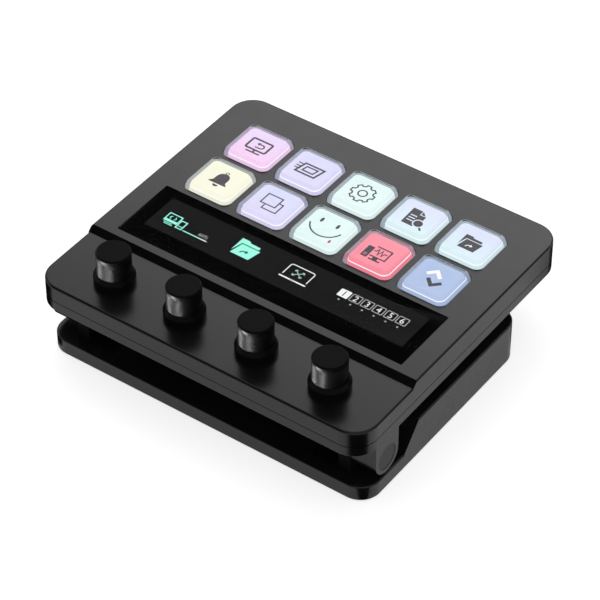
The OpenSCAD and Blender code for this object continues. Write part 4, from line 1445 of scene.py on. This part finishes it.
def grown(name: str, tree: bpy.types.NodeTree, values: dict[str, object], body: str) -> bpy.types.Object:
    """Runs a Geometry Nodes tree and keeps its result as a plain mesh.

    Args:
        name: the piece's name.
        tree: the tree.
        values: its inputs by name.
        body: the CAD body that the piece moves with.

    Returns:
        The new object, with no modifier.
    """
    holder = bpy.data.objects.new(f"{name}_seed", bpy.data.meshes.new(f"{name}_seed"))
    bpy.context.scene.collection.objects.link(holder)
    modifier = holder.modifiers.new("grow", "NODES")
    modifier.node_group = tree
    sockets = {item.name: item.identifier for item in tree.interface.items_tree if item.in_out == "INPUT"}
    for key, value in values.items():
        modifier[sockets[key]] = value
    bpy.context.view_layer.update()
    mesh = bpy.data.meshes.new_from_object(holder.evaluated_get(bpy.context.evaluated_depsgraph_get()))
    bpy.data.objects.remove(holder)
    mesh.name = name
    obj = bpy.data.objects.new(name, mesh)
    bpy.context.scene.collection.objects.link(obj)
    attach(obj, body)
    return obj


@dataclass
class KnobRow:
    """The knurled sleeves of the four knobs."""

    knobs: int = 4
    radius: float = 6.24
    relief: float = 0.15
    low: float = 37.8
    high: float = 47.7
    around: int = 44
    rows: int = 14

    def build(self) -> list[bpy.types.Object]:
        """Builds one sleeve for each knob.

        Returns:
            The sleeves.
        """
        tree = self.tree()
        sleeves = []
        for number in range(1, self.knobs + 1):
            low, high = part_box(f"knob_{number}")
            made = grown(f"knob_knurl_{number}", tree, {
                "Around": self.around, "Rows": self.rows, "Radius": self.radius * MM,
                "Relief": self.relief * MM, "Low": self.low * MM, "High": self.high * MM,
                "Centre": ((low.x + high.x) / 2, (low.y + high.y) / 2, 0.0),
                "Look": Finishes.knurl.material()}, f"dial_{number}")
            sleeves.append(made)
            LOG.info("built knurl %d", number)
        return sleeves

    def tree(self) -> bpy.types.NodeTree:
        """Makes the tree that sets small four-sided points round a sleeve, each row shifted by half a step.

        Returns:
            The tree.
        """
        tree, nodes, given = new_tree("diamond_knurl", {
            "Around": "Int", "Rows": "Int", "Radius": "Float", "Relief": "Float", "Low": "Float",
            "High": "Float", "Centre": "Vector", "Look": "Material"})
        around, radius = given["Around"], given["Radius"]
        index = nodes.add("GeometryNodeInputIndex").outputs["Index"]
        row = nodes.math("FLOOR", nodes.math("DIVIDE", index, around))
        shift = nodes.math("MULTIPLY", nodes.math("MODULO", row, 2.0), 0.5)
        turn = nodes.math("MULTIPLY", nodes.math("ADD", index, shift), TURN)
        turn = nodes.math("DIVIDE", turn, around)
        span = nodes.math("SUBTRACT", given["High"], given["Low"])
        pitch = nodes.math("DIVIDE", span, nodes.math("ADD", given["Rows"], 1.0))
        climb = nodes.math("MULTIPLY", nodes.math("ADD", row, 1.0), pitch)
        place = nodes.add("ShaderNodeCombineXYZ", Z=nodes.math("ADD", given["Low"], climb),
                          X=nodes.math("MULTIPLY", nodes.math("COSINE", turn), radius),
                          Y=nodes.math("MULTIPLY", nodes.math("SINE", turn), radius)).outputs["Vector"]
        points = nodes.add("GeometryNodePoints", Count=nodes.math("MULTIPLY", around, given["Rows"]),
                           Position=nodes.vector_math("ADD", place, given["Centre"])["Vector"])
        spin = nodes.add("ShaderNodeCombineXYZ", Y=math.pi / 2, Z=turn)
        width = nodes.math("DIVIDE", nodes.math("MULTIPLY", radius, TURN / 2), around)
        point = nodes.add("GeometryNodeMeshCone", fill_type="NONE", Vertices=4, Radius_Top=0.0,
                          Radius_Bottom=width, Depth=given["Relief"])
        tall = nodes.add("ShaderNodeCombineXYZ", X=nodes.math("DIVIDE", pitch, width), Y=1.0, Z=1.0)
        knurl = nodes.add("GeometryNodeInstanceOnPoints", Points=points.outputs["Points"],
                          Instance=point.outputs["Mesh"], Rotation=spin.outputs["Vector"],
                          Scale=tall.outputs["Vector"])
        finish_tree(nodes, knurl.outputs["Instances"], given["Look"])
        return tree


def main() -> None:
    """Loads the frame, and builds the keypad's looks round it and the studio."""
    logging.basicConfig(level=logging.INFO, format="%(name)s: %(message)s")
    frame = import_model()
    scene = bpy.context.scene
    scene.view_settings.view_transform = "Standard"
    studio = Studio()
    ceiling = studio.build()
    nodes = frame["nodes"]
    CarriedNodes(nodes).build()
    KeyField(nodes).build()
    studio.keep_off(ceiling, DisplayStrip(nodes).build())
    row = KnobRow()
    knobs = [nodes[f"knob_{number}"] for number in range(1, row.knobs + 1)]
    studio.knob_lamp([*row.build(), *knobs])


if __name__ == "__main__":
    main()
